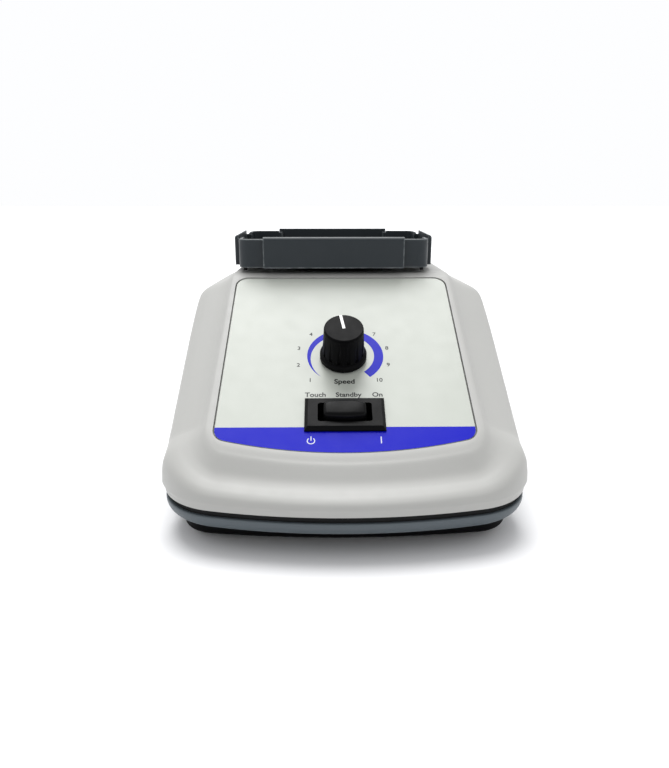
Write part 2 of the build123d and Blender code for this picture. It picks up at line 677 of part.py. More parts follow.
def make_rocker_pin():
    """Pin that the rocker tips on."""
    pin = Pos(0, 0, ROCKER_PIVOT_N) * Rot(90, 0, 0) * Cylinder(ROCKER_PIN_R, ROCKER_PIN_LENGTH)
    return on_panel(pin, t=SWITCH_T)


def make_switch_base():
    """Contact block under the switch body."""
    base = Pos(0, 0, SWITCH_BASE_N - SWITCH_BASE_H / 2) * Box(SWITCH_BODY_W, SWITCH_BODY_H, SWITCH_BASE_H)
    return on_panel(base, t=SWITCH_T)


def make_switch_terminals():
    """Six blade terminals."""
    middle = SWITCH_BASE_N - SWITCH_BASE_H - BLADE_LENGTH / 2
    blade = Pos(0, 0, middle) * Box(BLADE_W, BLADE_THICK, BLADE_LENGTH)
    places = [(x, v) for x in (-BLADE_X, 0, BLADE_X) for v in (-BLADE_V, BLADE_V)]
    return group(on_panel(Pos(x, v, 0) * blade, t=SWITCH_T) for x, v in places)


# ================================================================ electronics
def make_control_board():
    board = block(-BOARD_HALF_W, BOARD_HALF_W, BOARD_FRONT_Y, BOARD_BACK_Y, BOARD_Z, BOARD_TOP_Z)
    for x, y in BOARD_POSTS:
        board -= rod(SMALL_CLEAR_R, BOARD_Z - 1, BOARD_TOP_Z + 1, x, y)
    return board


def make_board_screws():
    pan = screw(SMALL_SCREW_R, PAN_HEAD_R, PAN_HEAD_H, BOARD_TOP_Z - FLOOR_Z - 1.5)
    return group(Pos(x, y, BOARD_TOP_Z) * pan for x, y in BOARD_POSTS)


def make_heatsink():
    """Finned aluminium heatsink that cools the speed control's triac."""
    sink = block(SINK_X, SINK_X + SINK_W, SINK_Y, SINK_Y + SINK_PLATE, BOARD_TOP_Z, SINK_TOP_Z)
    for i in range(SINK_FINS):
        x = SINK_X + i * (SINK_W - SINK_FIN) / (SINK_FINS - 1)
        sink += block(x, x + SINK_FIN, SINK_Y + SINK_PLATE - 1, SINK_Y + SINK_DEPTH, BOARD_TOP_Z, SINK_TOP_Z)
    return sink


def make_triac():
    """Switching device flat against the heatsink, on three legs."""
    middle = SINK_X + SINK_W / 2
    half = TRIAC_W / 2
    body = block(middle - half, middle + half, SINK_Y - TRIAC_DEPTH, SINK_Y, TRIAC_LOW_Z, TRIAC_TOP_Z)
    for i in (-1, 0, 1):
        x = middle + TRIAC_LEG_PITCH * i
        body += block(x - 0.4, x + 0.4, SINK_Y - 2.6, SINK_Y - 2, BOARD_TOP_Z, TRIAC_LOW_Z + 1)
    return body


def make_transformer():
    """Small supply transformer: laminations round a bobbin."""
    x, y = TRANSFORMER_PLACE
    core = block(x - 15, x + 15, y - 12, y + 12, BOARD_TOP_Z, TRANSFORMER_TOP_Z)
    return core + block(x - 10, x + 10, y - 17, y + 17, BOARD_TOP_Z + 3.4, TRANSFORMER_TOP_Z - 3)


def make_capacitors():
    """Two can capacitors and a box capacitor."""
    cans = []
    for radius, height, x, y in CAN_CAPACITORS:
        can = rod(radius, BOARD_TOP_Z, BOARD_TOP_Z + height, x, y)
        cans.append(fillet(can.edges().sort_by(Axis.Z)[-1], radius=0.6))
    film = block(-12, 6, -22, -14, BOARD_TOP_Z, BOARD_TOP_Z + 11.4)
    return group(cans + [film])


def make_fuse():
    """Glass fuse between two clips."""
    x, y, z = FUSE_PLACE
    fuse = Pos(x, y, z) * Rot(0, 90, 0) * Cylinder(FUSE_R, FUSE_LENGTH)
    for end in (-1, 1):
        clip_x = x + end * (FUSE_LENGTH / 2 - 2.5)
        fuse += block(clip_x - 2, clip_x + 2, y - 3, y + 3, BOARD_TOP_Z, z)
    return fuse


def make_terminal_block():
    """Three-way block that the mains leads end in, with its screw wells."""
    x, y = TERMINAL_PLACE
    body = block(x - 10, x + 10, y - 5, y + 5, BOARD_TOP_Z, TERMINAL_TOP_Z)
    for i in (-1, 0, 1):
        body -= rod(1.6, TERMINAL_TOP_Z - 4, TERMINAL_TOP_Z + 1, x + TERMINAL_PITCH * i, y)
    return body


def lead(points, radius, bend):
    """Insulated wire along straight runs with round bends."""
    path = FilletPolyline(*points, radius=bend)
    start = Plane(origin=path @ 0, z_dir=path % 0)
    return sweep(start * Circle(radius), path=path)


def make_mains_leads():
    """Three wires from the inlet's tags, past the motor, to the terminal block."""
    leads = []
    for i in (-1, 0, 1):
        x = MAINS_RUN_X + MAINS_RUN_PITCH * i
        pin_x = INLET_X + INLET_PIN_PITCH * i
        points = [(pin_x, INLET_BACK_Y - 6.1, INLET_Z), (pin_x, 102, INLET_Z - 1), (x, 96, 50), (x, 88, 28),
                  (x, 60, 24), (x, 16, 24), (x, 2, 32), (TERMINAL_PLACE[0] + TERMINAL_PITCH * i, -8.6, 32)]
        leads.append(lead(points, MAINS_LEAD_R, LEAD_BEND_R))
    return group(leads)


def make_motor_leads():
    """Two wires from the motor's coil to the board."""
    leads = []
    for i in (-1, 1):
        x = HEAD_X + 5 * i
        points = [(x, COIL_FRONT_Y - 0.3, 60), (x, 12, 58), (x, 4, 40), (x, -10, 36),
                  (x - 16, -12, BOARD_TOP_Z + 0.9)]
        leads.append(lead(points, MOTOR_LEAD_R, LEAD_BEND_R))
    return group(leads)


def make_control_leads():
    """Wires from the speed control's three tags and the switch's terminals to the board."""
    leads = []
    for i in (-1, 0, 1):
        tag_end = POT_TAG_V + POT_TAG_LENGTH / 2 + 0.9
        tag = panel.from_local_coords((POT_TAG_PITCH * i, tag_end - KNOB_T, POT_TAG_N))
        points = [(tag.X, tag.Y, tag.Z), (tag.X, tag.Y + 5, tag.Z - 3), (tag.X, -18, 60), (tag.X, -42, 40),
                  (tag.X, -44, BOARD_TOP_Z + 0.2)]
        leads.append(lead(points, CONTROL_LEAD_R, LEAD_BEND_R))
        blade_end = SWITCH_BASE_N - SWITCH_BASE_H - BLADE_LENGTH
        blade = panel.from_local_coords((BLADE_X * i, BLADE_V - SWITCH_T, blade_end))
        points = [(blade.X, blade.Y, blade.Z), (blade.X, blade.Y + 2, blade.Z - 3.4),
                  (blade.X, -62, BOARD_TOP_Z + 0.6)]
        leads.append(lead(points, CONTROL_LEAD_R, 1.0))
    return group(leads)


def make_power_inlet():
    """Three-pin mains inlet, set in the rear pocket."""
    outline = RectangleRounded(INLET_W - 1, INLET_H - 1, 3)
    inlet = Pos(INLET_X, POCKET_Y, INLET_Z) * Rot(90, 0, 0) * extrude(outline, amount=-INLET_FLANGE)
    inlet += around_inlet(INLET_BODY_W, INLET_BODY_H, INLET_BACK_Y, POCKET_Y + 1)
    inlet -= around_inlet(SOCKET_W, SOCKET_H, INLET_BACK_Y + 3, BACK_Y + 1)
    for x in INLET_SCREWS:
        inlet -= Pos(x, POCKET_Y, INLET_Z) * Rot(90, 0, 0) * Cylinder(SMALL_CLEAR_R, THROUGH)
    for x, _, z in inlet_pin_places():
        inlet -= block(x - 1, x + 1, INLET_BACK_Y - 1, INLET_BACK_Y + 4, z - 2, z + 2)
    return inlet


def inlet_pin_places():
    """Live, earth and neutral: the earth pin sits lower and reaches further out."""
    side_pins = [(INLET_X + end * INLET_PIN_PITCH, POCKET_Y + 0.5, INLET_Z + 1) for end in (-1, 1)]
    return side_pins + [(INLET_X, POCKET_Y + 1.5, INLET_Z - 3)]


def make_inlet_pins():
    return group(block(x - 1, x + 1, INLET_BACK_Y - 6, tip, z - 2, z + 2) for x, tip, z in inlet_pin_places())


def make_inlet_screws():
    pan = Rot(-90, 0, 0) * screw(SMALL_SCREW_R, PAN_HEAD_R, PAN_HEAD_H, 5.0)
    return group(Pos(x, POCKET_Y + INLET_FLANGE, INLET_Z) * pan for x in INLET_SCREWS)


# ================================================================ motor
def around_axis(shape, x=0.0, y=0.0, z=0.0):
    """Place a shape relative to the motor's axis."""
    return Pos(HEAD_X + x, HEAD_Y + y, z) * shape


def make_stator_core():
    """Laminated iron of the shaded-pole motor: pole bore, window and coil leg."""
    core = around_axis(block(-30, 30, -46, 22, STATOR_LOW_Z, STATOR_TOP_Z))
    core -= rod(ROTOR_R + AIR_GAP, STATOR_LOW_Z - 1, STATOR_TOP_Z + 1, HEAD_X, HEAD_Y)
    core -= around_axis(block(-19, 19, -34, -22, STATOR_LOW_Z - 1, STATOR_TOP_Z + 1))
    for side in (-1, 1):
        x0, x1 = sorted((side * 19, side * 31))
        core -= around_axis(block(x0, x1, -47, -34, STATOR_LOW_Z - 1, STATOR_TOP_Z + 1))
        x0, x1 = sorted((side * 19, side * 30))
        core += around_axis(block(x0, x1, -40, -33, STATOR_LOW_Z, STATOR_TOP_Z))
    for x, y in MOTOR_BOLTS:
        core -= rod(TAPPED_R, 40, 90, x, y)
    return core


def make_stator_coil():
    """Winding round the coil leg."""
    outer = around_axis(block(-17, 17, -54, -24, 44, 84))
    outer = fillet(outer.edges().filter_by(Axis.X), radius=5)
    return outer - around_axis(block(-31, 31, -46.05, -33.95, STATOR_LOW_Z - 0.05, STATOR_TOP_Z + 0.05))


def make_upper_bracket():
    """Bearing bracket on top of the stator."""
    plate = around_axis(block(-29, 29, -20, 20, STATOR_TOP_Z, STATOR_TOP_Z + 3))
    plate += rod(11, STATOR_TOP_Z, 85, HEAD_X, HEAD_Y)
    plate -= rod(BUSH_R, 70, 90, HEAD_X, HEAD_Y)
    for x, y in MOTOR_BOLTS:
        plate -= rod(TAPPED_R, 70, 90, x, y)
    return plate


def make_lower_bracket():
    """Bearing bracket under the stator, with the motor's mounting flanges."""
    plate = around_axis(block(-42, 42, -22, 24, LOWER_BRACKET_Z, LOWER_BRACKET_Z + 3))
    plate += rod(11, LOWER_BRACKET_Z, LOWER_BRACKET_Z + 9, HEAD_X, HEAD_Y)
    for side in (-1, 1):
        x0, x1 = sorted((side * 21, side * 29))
        plate += around_axis(block(x0, x1, -20, 20, 44, STATOR_LOW_Z))
    plate -= rod(BUSH_R, 40, 60, HEAD_X, HEAD_Y)
    for x, y in MOTOR_BOLTS:
        plate -= rod(TAPPED_R, 46, 60, x, y)
    for x, y in MOTOR_POSTS:
        plate -= rod(CLEAR_R, 40, 50, x, y)
    return plate


def make_sleeve_bearings():
    """Sintered sleeve bearings in the two brackets."""
    bush = rod(BUSH_R, 0, 8, HEAD_X, HEAD_Y) - rod(SHAFT_R + BUSH_CLEARANCE, -1, 9, HEAD_X, HEAD_Y)
    return group([Pos(0, 0, LOWER_BRACKET_Z + 0.5) * bush, Pos(0, 0, STATOR_TOP_Z + 0.5) * bush])


def make_motor_bolts():
    bolt = screw(SCREW_R, SCREW_HEAD_R, SCREW_HEAD_H, STATOR_TOP_Z + 3 - (LOWER_BRACKET_Z + 4.5), SOCKET_R)
    return group(Pos(x, y, STATOR_TOP_Z + 3) * bolt for x, y in MOTOR_BOLTS)


def make_motor_isolators():
    """Rubber washers between the posts and the motor."""
    ring = rod(LOW_TOWER_R, POST_TOP_Z, LOWER_BRACKET_Z) - rod(CLEAR_R, POST_TOP_Z - 1, LOWER_BRACKET_Z + 1)
    return group(Pos(x, y, 0) * ring for x, y in MOTOR_POSTS)


def make_motor_screws():
    seat_z = LOWER_BRACKET_Z + 3
    bolt = screw(SCREW_R, SCREW_HEAD_R, SCREW_HEAD_H, seat_z - FLOOR_Z - 4, SOCKET_R)
    return group(Pos(x, y, seat_z) * bolt for x, y in MOTOR_POSTS)


def make_motor_shaft():
    """Shaft from the thrust cup up into the eccentric hub."""
    shaft = rod(SHAFT_R, CUP_FLOOR_Z + 0.05, HUB_LOW_Z + 9, HEAD_X, HEAD_Y)
    return chamfer(shaft.edges().sort_by(Axis.Z)[0], length=0.5)


def make_rotor_core():
    core = rod(ROTOR_R, STATOR_LOW_Z + 1.5, STATOR_TOP_Z - 1.5, HEAD_X, HEAD_Y)
    return core - rod(SHAFT_R, 0, 200, HEAD_X, HEAD_Y)


def make_cooling_fan():
    """Eight-bladed fan over the motor."""
    fan = rod(8, 88, 98) - rod(SHAFT_R, 80, 100)
    for i in range(8):
        blade = Pos(17, 0, 93) * Rot(28, 0, 0) * Box(20, 1.4, 9)
        fan += Rot(0, 0, 45 * i) * blade
    return around_axis(fan)


def make_eccentric_hub():
    """Hub with a counterweight on one side and the offset pin on the other."""
    hub = rod(13, HUB_LOW_Z, HUB_TOP_Z, HEAD_X, HEAD_Y)
    weight = rod(24, HUB_LOW_Z, HUB_LOW_Z + 6, HEAD_X, HEAD_Y)
    hub += weight & around_axis(block(2, 30, -30, 30, 90, 130))
    hub += rod(5.4, HUB_TOP_Z - 1, BEARING_LOW_Z, PIN_X, HEAD_Y)
    hub += rod(BEARING_BORE_R, HUB_TOP_Z - 1, BEARING_TOP_Z, PIN_X, HEAD_Y)
    hub -= rod(SHAFT_R, 90, HUB_LOW_Z + 9, HEAD_X, HEAD_Y)
    hub -= rod(TAPPED_R, HUB_TOP_Z + 2, TOP_Z, PIN_X, HEAD_Y)
    return hub - around_axis(Rot(90, 0, 0) * Cylinder(2.52, 20), y=-14, z=HUB_LOW_Z + 8)


def make_hub_set_screw():
    pin = Rot(90, 0, 0) * Cylinder(2.5, 8)
    return around_axis(pin, y=-SHAFT_R - 4.05, z=HUB_LOW_Z + 8)


def make_bearing_retainer():
    """Washer and screw that keep the bearing on the pin."""
    washer = rod(5.8, BEARING_TOP_Z, BEARING_TOP_Z + 1, PIN_X, HEAD_Y)
    return washer + Pos(PIN_X, HEAD_Y, BEARING_TOP_Z + 1) * screw(SCREW_R, 3.5, 2.6, 8.0, SOCKET_R)


def bearing_ring(inner_r, outer_r):
    """One race of the ball bearing, with the groove that the balls run in."""
    race = rod(outer_r, BEARING_LOW_Z, BEARING_TOP_Z) - rod(inner_r, BEARING_LOW_Z - 1, BEARING_TOP_Z + 1)
    race -= Pos(0, 0, BEARING_LOW_Z + BEARING_W / 2) * Torus(BALL_PITCH_R, BALL_R + 0.06)
    return Pos(PIN_X, HEAD_Y, 0) * race


def make_bearing_inner():
    return bearing_ring(BEARING_BORE_R, 6.2)


def make_bearing_outer():
    return bearing_ring(8.8, BEARING_R)


def make_bearing_balls():
    middle = BEARING_LOW_Z + BEARING_W / 2
    places = [2 * pi * i / BALLS for i in range(BALLS)]
    return group(Pos(PIN_X + BALL_PITCH_R * cos(a), HEAD_Y + BALL_PITCH_R * sin(a), middle) * Sphere(BALL_R)
                 for a in places)


def make_thrust_cup():
    """Cup that carries the shaft's end and moves down when the tray is pressed."""
    cup = rod(STEM_R, STEM_LOW_Z, CUP_TOP_Z, HEAD_X, HEAD_Y)
    cup += rod(12.0, CUP_TOP_Z - 3, CUP_TOP_Z, HEAD_X, HEAD_Y)
    return cup - rod(SHAFT_R + 0.05, CUP_FLOOR_Z, CUP_TOP_Z + 1, HEAD_X, HEAD_Y)


def make_plunger_guide():
    """Bush on the floor that guides the thrust cup."""
    guide = rod(13.0, FLOOR_Z, FLOOR_Z + 2, HEAD_X, HEAD_Y) + rod(9.0, FLOOR_Z, GUIDE_TOP_Z, HEAD_X, HEAD_Y)
    return guide - rod(STEM_R + 0.05, FLOOR_Z - 1, GUIDE_TOP_Z + 1, HEAD_X, HEAD_Y)


def make_press_switch():
    """Small push switch on the floor, under the cup's stem."""
    button_top = STEM_LOW_Z - PRESS_TRAVEL - 0.2
    body = around_axis(block(-3.6, 3.6, -3.6, 3.6, FLOOR_Z, button_top - 1))
    return body + rod(1.7, button_top - 1.5, button_top, HEAD_X, HEAD_Y)


def make_press_spring():
    """Spring that lifts the cup, the rotor and the tray back up."""
    path = Helix(pitch=SPRING_PITCH, height=4 * SPRING_PITCH, radius=10.4)
    wire = sweep(Plane(origin=path @ 0, z_dir=path % 0) * Circle(0.72), path=path, is_frenet=True)
    return around_axis(wire, z=19.8)


# ================================================================ head and tray
def make_head_platform():
    """Cup round the bearing, with the flange that carries the tray."""
    body = rod(15, 116.2, TRAY_LOW_Z, PIN_X, HEAD_Y)
    body += rod(26, TRAY_LOW_Z - 2.4, TRAY_LOW_Z, PIN_X, HEAD_Y)
    for x, y in PLATFORM_SCREWS:
        body += rod(3.4, 122, TRAY_LOW_Z, x, y)
    body -= rod(BEARING_R, 110, BEARING_TOP_Z + 0.2, PIN_X, HEAD_Y)
    body -= rod(9.0, 110, 130, PIN_X, HEAD_Y)
    for x, y in PLATFORM_SCREWS:
        body -= rod(SMALL_TAPPED_R, BEARING_TOP_Z, TRAY_LOW_Z + 1, x, y)
    return body


def make_platform_screws():
    pan = screw(SMALL_SCREW_R, PAN_HEAD_R, PAN_HEAD_H, 9.5, SMALL_SCREW_R)
    return group(Pos(x, y, TRAY_LOW_Z + 1.1) * pan for x, y in PLATFORM_SCREWS)


def middle_wall(half_length, distance, turn):
    """One straight middle wall with its sill, its returns to the corner walls and a rounded outer rim."""
    inner = distance + PANEL_PROUD - TRAY_WALL
    wall = block(-half_length, half_length, inner, distance + PANEL_PROUD, TRAY_LOW_Z, PANEL_WALL_TOP_Z)
    rim = wall.edges().filter_by(Axis.X).group_by(Axis.Z)[-1].sort_by(Axis.Y)[-1]
    wall = fillet(rim, radius=TRAY_WALL - 0.3)
    wall += block(-half_length, half_length, distance - 1, inner + 1, TRAY_LOW_Z, TRAY_LOW_Z + TRAY_FLOOR)
    for end in (-1, 1):
        x0, x1 = sorted((end * half_length, end * (half_length - TRAY_WALL)))
        wall += block(x0, x1, distance - TRAY_WALL, inner + 1, TRAY_LOW_Z, CORNER_TOP_Z - RETURN_DROP)
    return Rot(0, 0, turn) * wall


def make_tray():
    """Microplate tray: four corner walls and four middle walls that stand further out."""
    outline = RectangleRounded(TRAY_W, TRAY_D, TRAY_CORNER_R)
    inside = RectangleRounded(TRAY_W - 2 * TRAY_WALL, TRAY_D - 2 * TRAY_WALL, TRAY_CORNER_R - TRAY_WALL)
    floor_z = TRAY_LOW_Z + TRAY_FLOOR
    tray = slab(outline, TRAY_LOW_Z, CORNER_TOP_Z)
    tray = fillet(tray.faces().sort_by(Axis.Z)[-1].edges(), radius=TRAY_RIM_R)
    tray -= slab(inside, floor_z, CORNER_TOP_Z + 1)
    tray -= block(-FRONT_WALL_HALF, FRONT_WALL_HALF, -TRAY_D, 0, floor_z, BEYOND)
    tray -= block(-BACK_WALL_HALF, BACK_WALL_HALF, 0, TRAY_D, floor_z, BEYOND)
    tray -= block(-TRAY_W, TRAY_W, -SIDE_WALL_HALF, SIDE_WALL_HALF, floor_z, BEYOND)
    tray += middle_wall(BACK_WALL_HALF, TRAY_D / 2, 0)
    tray += middle_wall(SIDE_WALL_HALF, TRAY_W / 2, 90)
    tray += middle_wall(FRONT_WALL_HALF, TRAY_D / 2, 180)
    tray += middle_wall(SIDE_WALL_HALF, TRAY_W / 2, 270)
    tray = Pos(PIN_X, HEAD_Y, 0) * tray
    for x, y in PLATFORM_SCREWS:
        tray -= rod(SMALL_CLEAR_R, TRAY_LOW_Z - 1, floor_z + 1, x, y)
        tray -= rod(PAN_HEAD_R + 0.2, TRAY_LOW_Z + 1.1, floor_z + 1, x, y)
    for x, y in BUMPERS:
        tray -= rod(BUMPER_STEM_R + 0.02, TRAY_LOW_Z - 1, floor_z + 1, x, y)
    return tray


def make_corner_bumpers():
    """Rubber stubs under the tray's corners."""
    stub = rod(BUMPER_R, TRAY_LOW_Z - BUMPER_H, TRAY_LOW_Z)
    stub = fillet(stub.edges().sort_by(Axis.Z)[0], radius=BUMPER_R / 2)
    stub += rod(BUMPER_STEM_R, TRAY_LOW_Z - 1, TRAY_LOW_Z + 2.4)
    return group(Pos(x, y, 0) * stub for x, y in BUMPERS)


def make_boot_skirt():
    """Rubber skirt under the tray that shields the opening."""
    outer = Pos(0, 0, (SKIRT_LOW_Z + TRAY_LOW_Z) / 2) * Cone(SKIRT_R, SKIRT_R - 0.9, TRAY_LOW_Z - SKIRT_LOW_Z)
    skirt = outer - rod(SKIRT_R - 3.5, SKIRT_LOW_Z - 1, TRAY_LOW_Z + 1)
    return Pos(PIN_X, HEAD_Y, 0) * skirt


def make_boot_ring():
    """Ring on the case round the opening, with a low collar inside the skirt."""
    ring = rod(SKIRT_R + 1, TOP_Z, TOP_Z + 0.8) + rod(COLLAR_R, TOP_Z, TOP_Z + COLLAR_H)
    return around_axis(ring - rod(COLLAR_R - 2, TOP_Z - 1, TOP_Z + COLLAR_H + 1))


SUB_PARTS = {
    "top_shell": make_top_shell, "bottom_shell": make_bottom_shell, "seam_gasket": make_seam_gasket,
    "base_plate": make_base_plate, "rubber_feet": make_rubber_feet, "case_screws": make_case_screws,
    "base_screws": make_base_screws, "control_overlay": make_control_overlay, "knob_body": make_knob_body,
    "knob_cap": make_knob_cap, "knob_pointer": make_knob_pointer, "pot_shaft": make_pot_shaft,
    "pot_body": make_pot_body, "pot_nut": make_pot_nut,
    "switch_frame": make_switch_frame, "switch_rocker": make_switch_rocker, "rocker_pin": make_rocker_pin,
    "switch_base": make_switch_base, "switch_terminals": make_switch_terminals,
    "control_board": make_control_board, "board_screws": make_board_screws, "heatsink": make_heatsink,
    "triac": make_triac, "transformer": make_transformer, "capacitors": make_capacitors, "fuse": make_fuse,
    "terminal_block": make_terminal_block, "mains_leads": make_mains_leads, "motor_leads": make_motor_leads,
    "control_leads": make_control_leads, "power_inlet": make_power_inlet, "inlet_pins": make_inlet_pins,
    "inlet_screws": make_inlet_screws, "stator_core": make_stator_core, "stator_coil": make_stator_coil,
    "upper_bracket": make_upper_bracket, "lower_bracket": make_lower_bracket,
    "sleeve_bearings": make_sleeve_bearings,
    "motor_bolts": make_motor_bolts, "motor_isolators": make_motor_isolators, "motor_screws": make_motor_screws,
    "motor_shaft": make_motor_shaft, "rotor_core": make_rotor_core, "cooling_fan": make_cooling_fan,
    "eccentric_hub": make_eccentric_hub, "hub_set_screw": make_hub_set_screw,
    "bearing_inner": make_bearing_inner, "bearing_outer": make_bearing_outer,
    "bearing_balls": make_bearing_balls, "bearing_retainer": make_bearing_retainer,
    "thrust_cup": make_thrust_cup, "plunger_guide": make_plunger_guide, "press_switch": make_press_switch,
    "press_spring": make_press_spring, "head_platform": make_head_platform,
    "platform_screws": make_platform_screws, "tray": make_tray, "corner_bumpers": make_corner_bumpers,
    "boot_skirt": make_boot_skirt, "boot_ring": make_boot_ring,
}

for node, make in SUB_PARTS.items():
    save(node, make())
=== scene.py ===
import json
import math
import bmesh
import bpy
from mathutils import Matrix, Vector


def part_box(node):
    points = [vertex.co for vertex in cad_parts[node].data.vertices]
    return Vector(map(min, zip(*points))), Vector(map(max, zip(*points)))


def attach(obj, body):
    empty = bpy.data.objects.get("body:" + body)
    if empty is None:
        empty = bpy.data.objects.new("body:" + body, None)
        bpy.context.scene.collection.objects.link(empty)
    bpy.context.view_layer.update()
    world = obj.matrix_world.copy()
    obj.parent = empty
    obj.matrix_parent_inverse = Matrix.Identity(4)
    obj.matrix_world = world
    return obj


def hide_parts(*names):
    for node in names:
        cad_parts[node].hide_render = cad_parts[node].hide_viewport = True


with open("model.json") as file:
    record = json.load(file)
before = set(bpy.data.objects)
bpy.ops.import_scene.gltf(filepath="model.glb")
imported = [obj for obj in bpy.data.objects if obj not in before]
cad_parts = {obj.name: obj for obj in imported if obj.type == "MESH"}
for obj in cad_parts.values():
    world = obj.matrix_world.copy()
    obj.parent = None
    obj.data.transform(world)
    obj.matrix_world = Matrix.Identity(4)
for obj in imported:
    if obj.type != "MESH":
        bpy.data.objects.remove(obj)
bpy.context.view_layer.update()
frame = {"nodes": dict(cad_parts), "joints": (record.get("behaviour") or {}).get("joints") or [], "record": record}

MM = 0.001
NODES = frame["nodes"]
JOINTS = {joint["name"]: joint for joint in frame["joints"]}
SLOT_OF = {part["node"]: part["material_slot"] for part in frame["record"]["subparts"]}


# ---------------------------------------------------------------- control panel's own directions
PANEL_X = Vector((1, 0, 0))
PANEL_OUT = Vector(JOINTS["knob_turn"]["axis"]).normalized()
PANEL_UP = PANEL_OUT.cross(PANEL_X)
KNOB_AXIS = Vector(JOINTS["knob_turn"]["pos_m"])
OVERLAY = NODES["control_overlay"].data.vertices
OVERLAY_FACE = max(PANEL_OUT.dot(v.co) for v in OVERLAY)
OVERLAY_TOP = max(PANEL_UP.dot(v.co) for v in OVERLAY)
KNOB_TO_TOP = 78.4 * MM
INK = 0.04 * MM


def on_panel(x, down, lift=0.0):
    """A point x to the right, down from the overlay's upper edge, and lift above its face."""
    return PANEL_X * x + PANEL_UP * (OVERLAY_TOP - down) + PANEL_OUT * (OVERLAY_FACE + lift)


def panel_matrix(x, down, lift=0.0):
    turn = Matrix((PANEL_X, PANEL_UP, PANEL_OUT)).transposed().to_4x4()
    return Matrix.Translation(on_panel(x, down, lift)) @ turn


# ---------------------------------------------------------------- mesh helpers
def finish_mesh(name, bm, smooth=True):
    mesh = bpy.data.meshes.new(name)
    bmesh.ops.recalc_face_normals(bm, faces=bm.faces)
    bm.to_mesh(mesh)
    bm.free()
    for polygon in mesh.polygons:
        polygon.use_smooth = smooth
    piece = bpy.data.objects.new(name, mesh)
    bpy.context.scene.collection.objects.link(piece)
    return piece


def walls(bm, low, high):
    """Faces between two closed rings with the same number of vertices."""
    for i in range(len(low)):
        j = (i + 1) % len(low)
        bm.faces.new((low[i], low[j], high[j], high[i]))


def prism(bm, outline, place, low, high):
    """A closed straight solid over an outline of (x, y) points."""
    bottom = [bm.verts.new(place @ Vector((x, y, low))) for x, y in outline]
    top = [bm.verts.new(place @ Vector((x, y, high))) for x, y in outline]
    bm.faces.new(bottom)
    bm.faces.new(top)
    walls(bm, bottom, top)


def rectangle(x0, x1, y0, y1):
    return [(x0, y0), (x1, y0), (x1, y1), (x0, y1)]


def arc_points(radius, start, end, count, centre=(0.0, 0.0)):
    angles = [start + (end - start) * i / count for i in range(count + 1)]
    return [(centre[0] + radius * math.cos(a), centre[1] + radius * math.sin(a)) for a in angles]


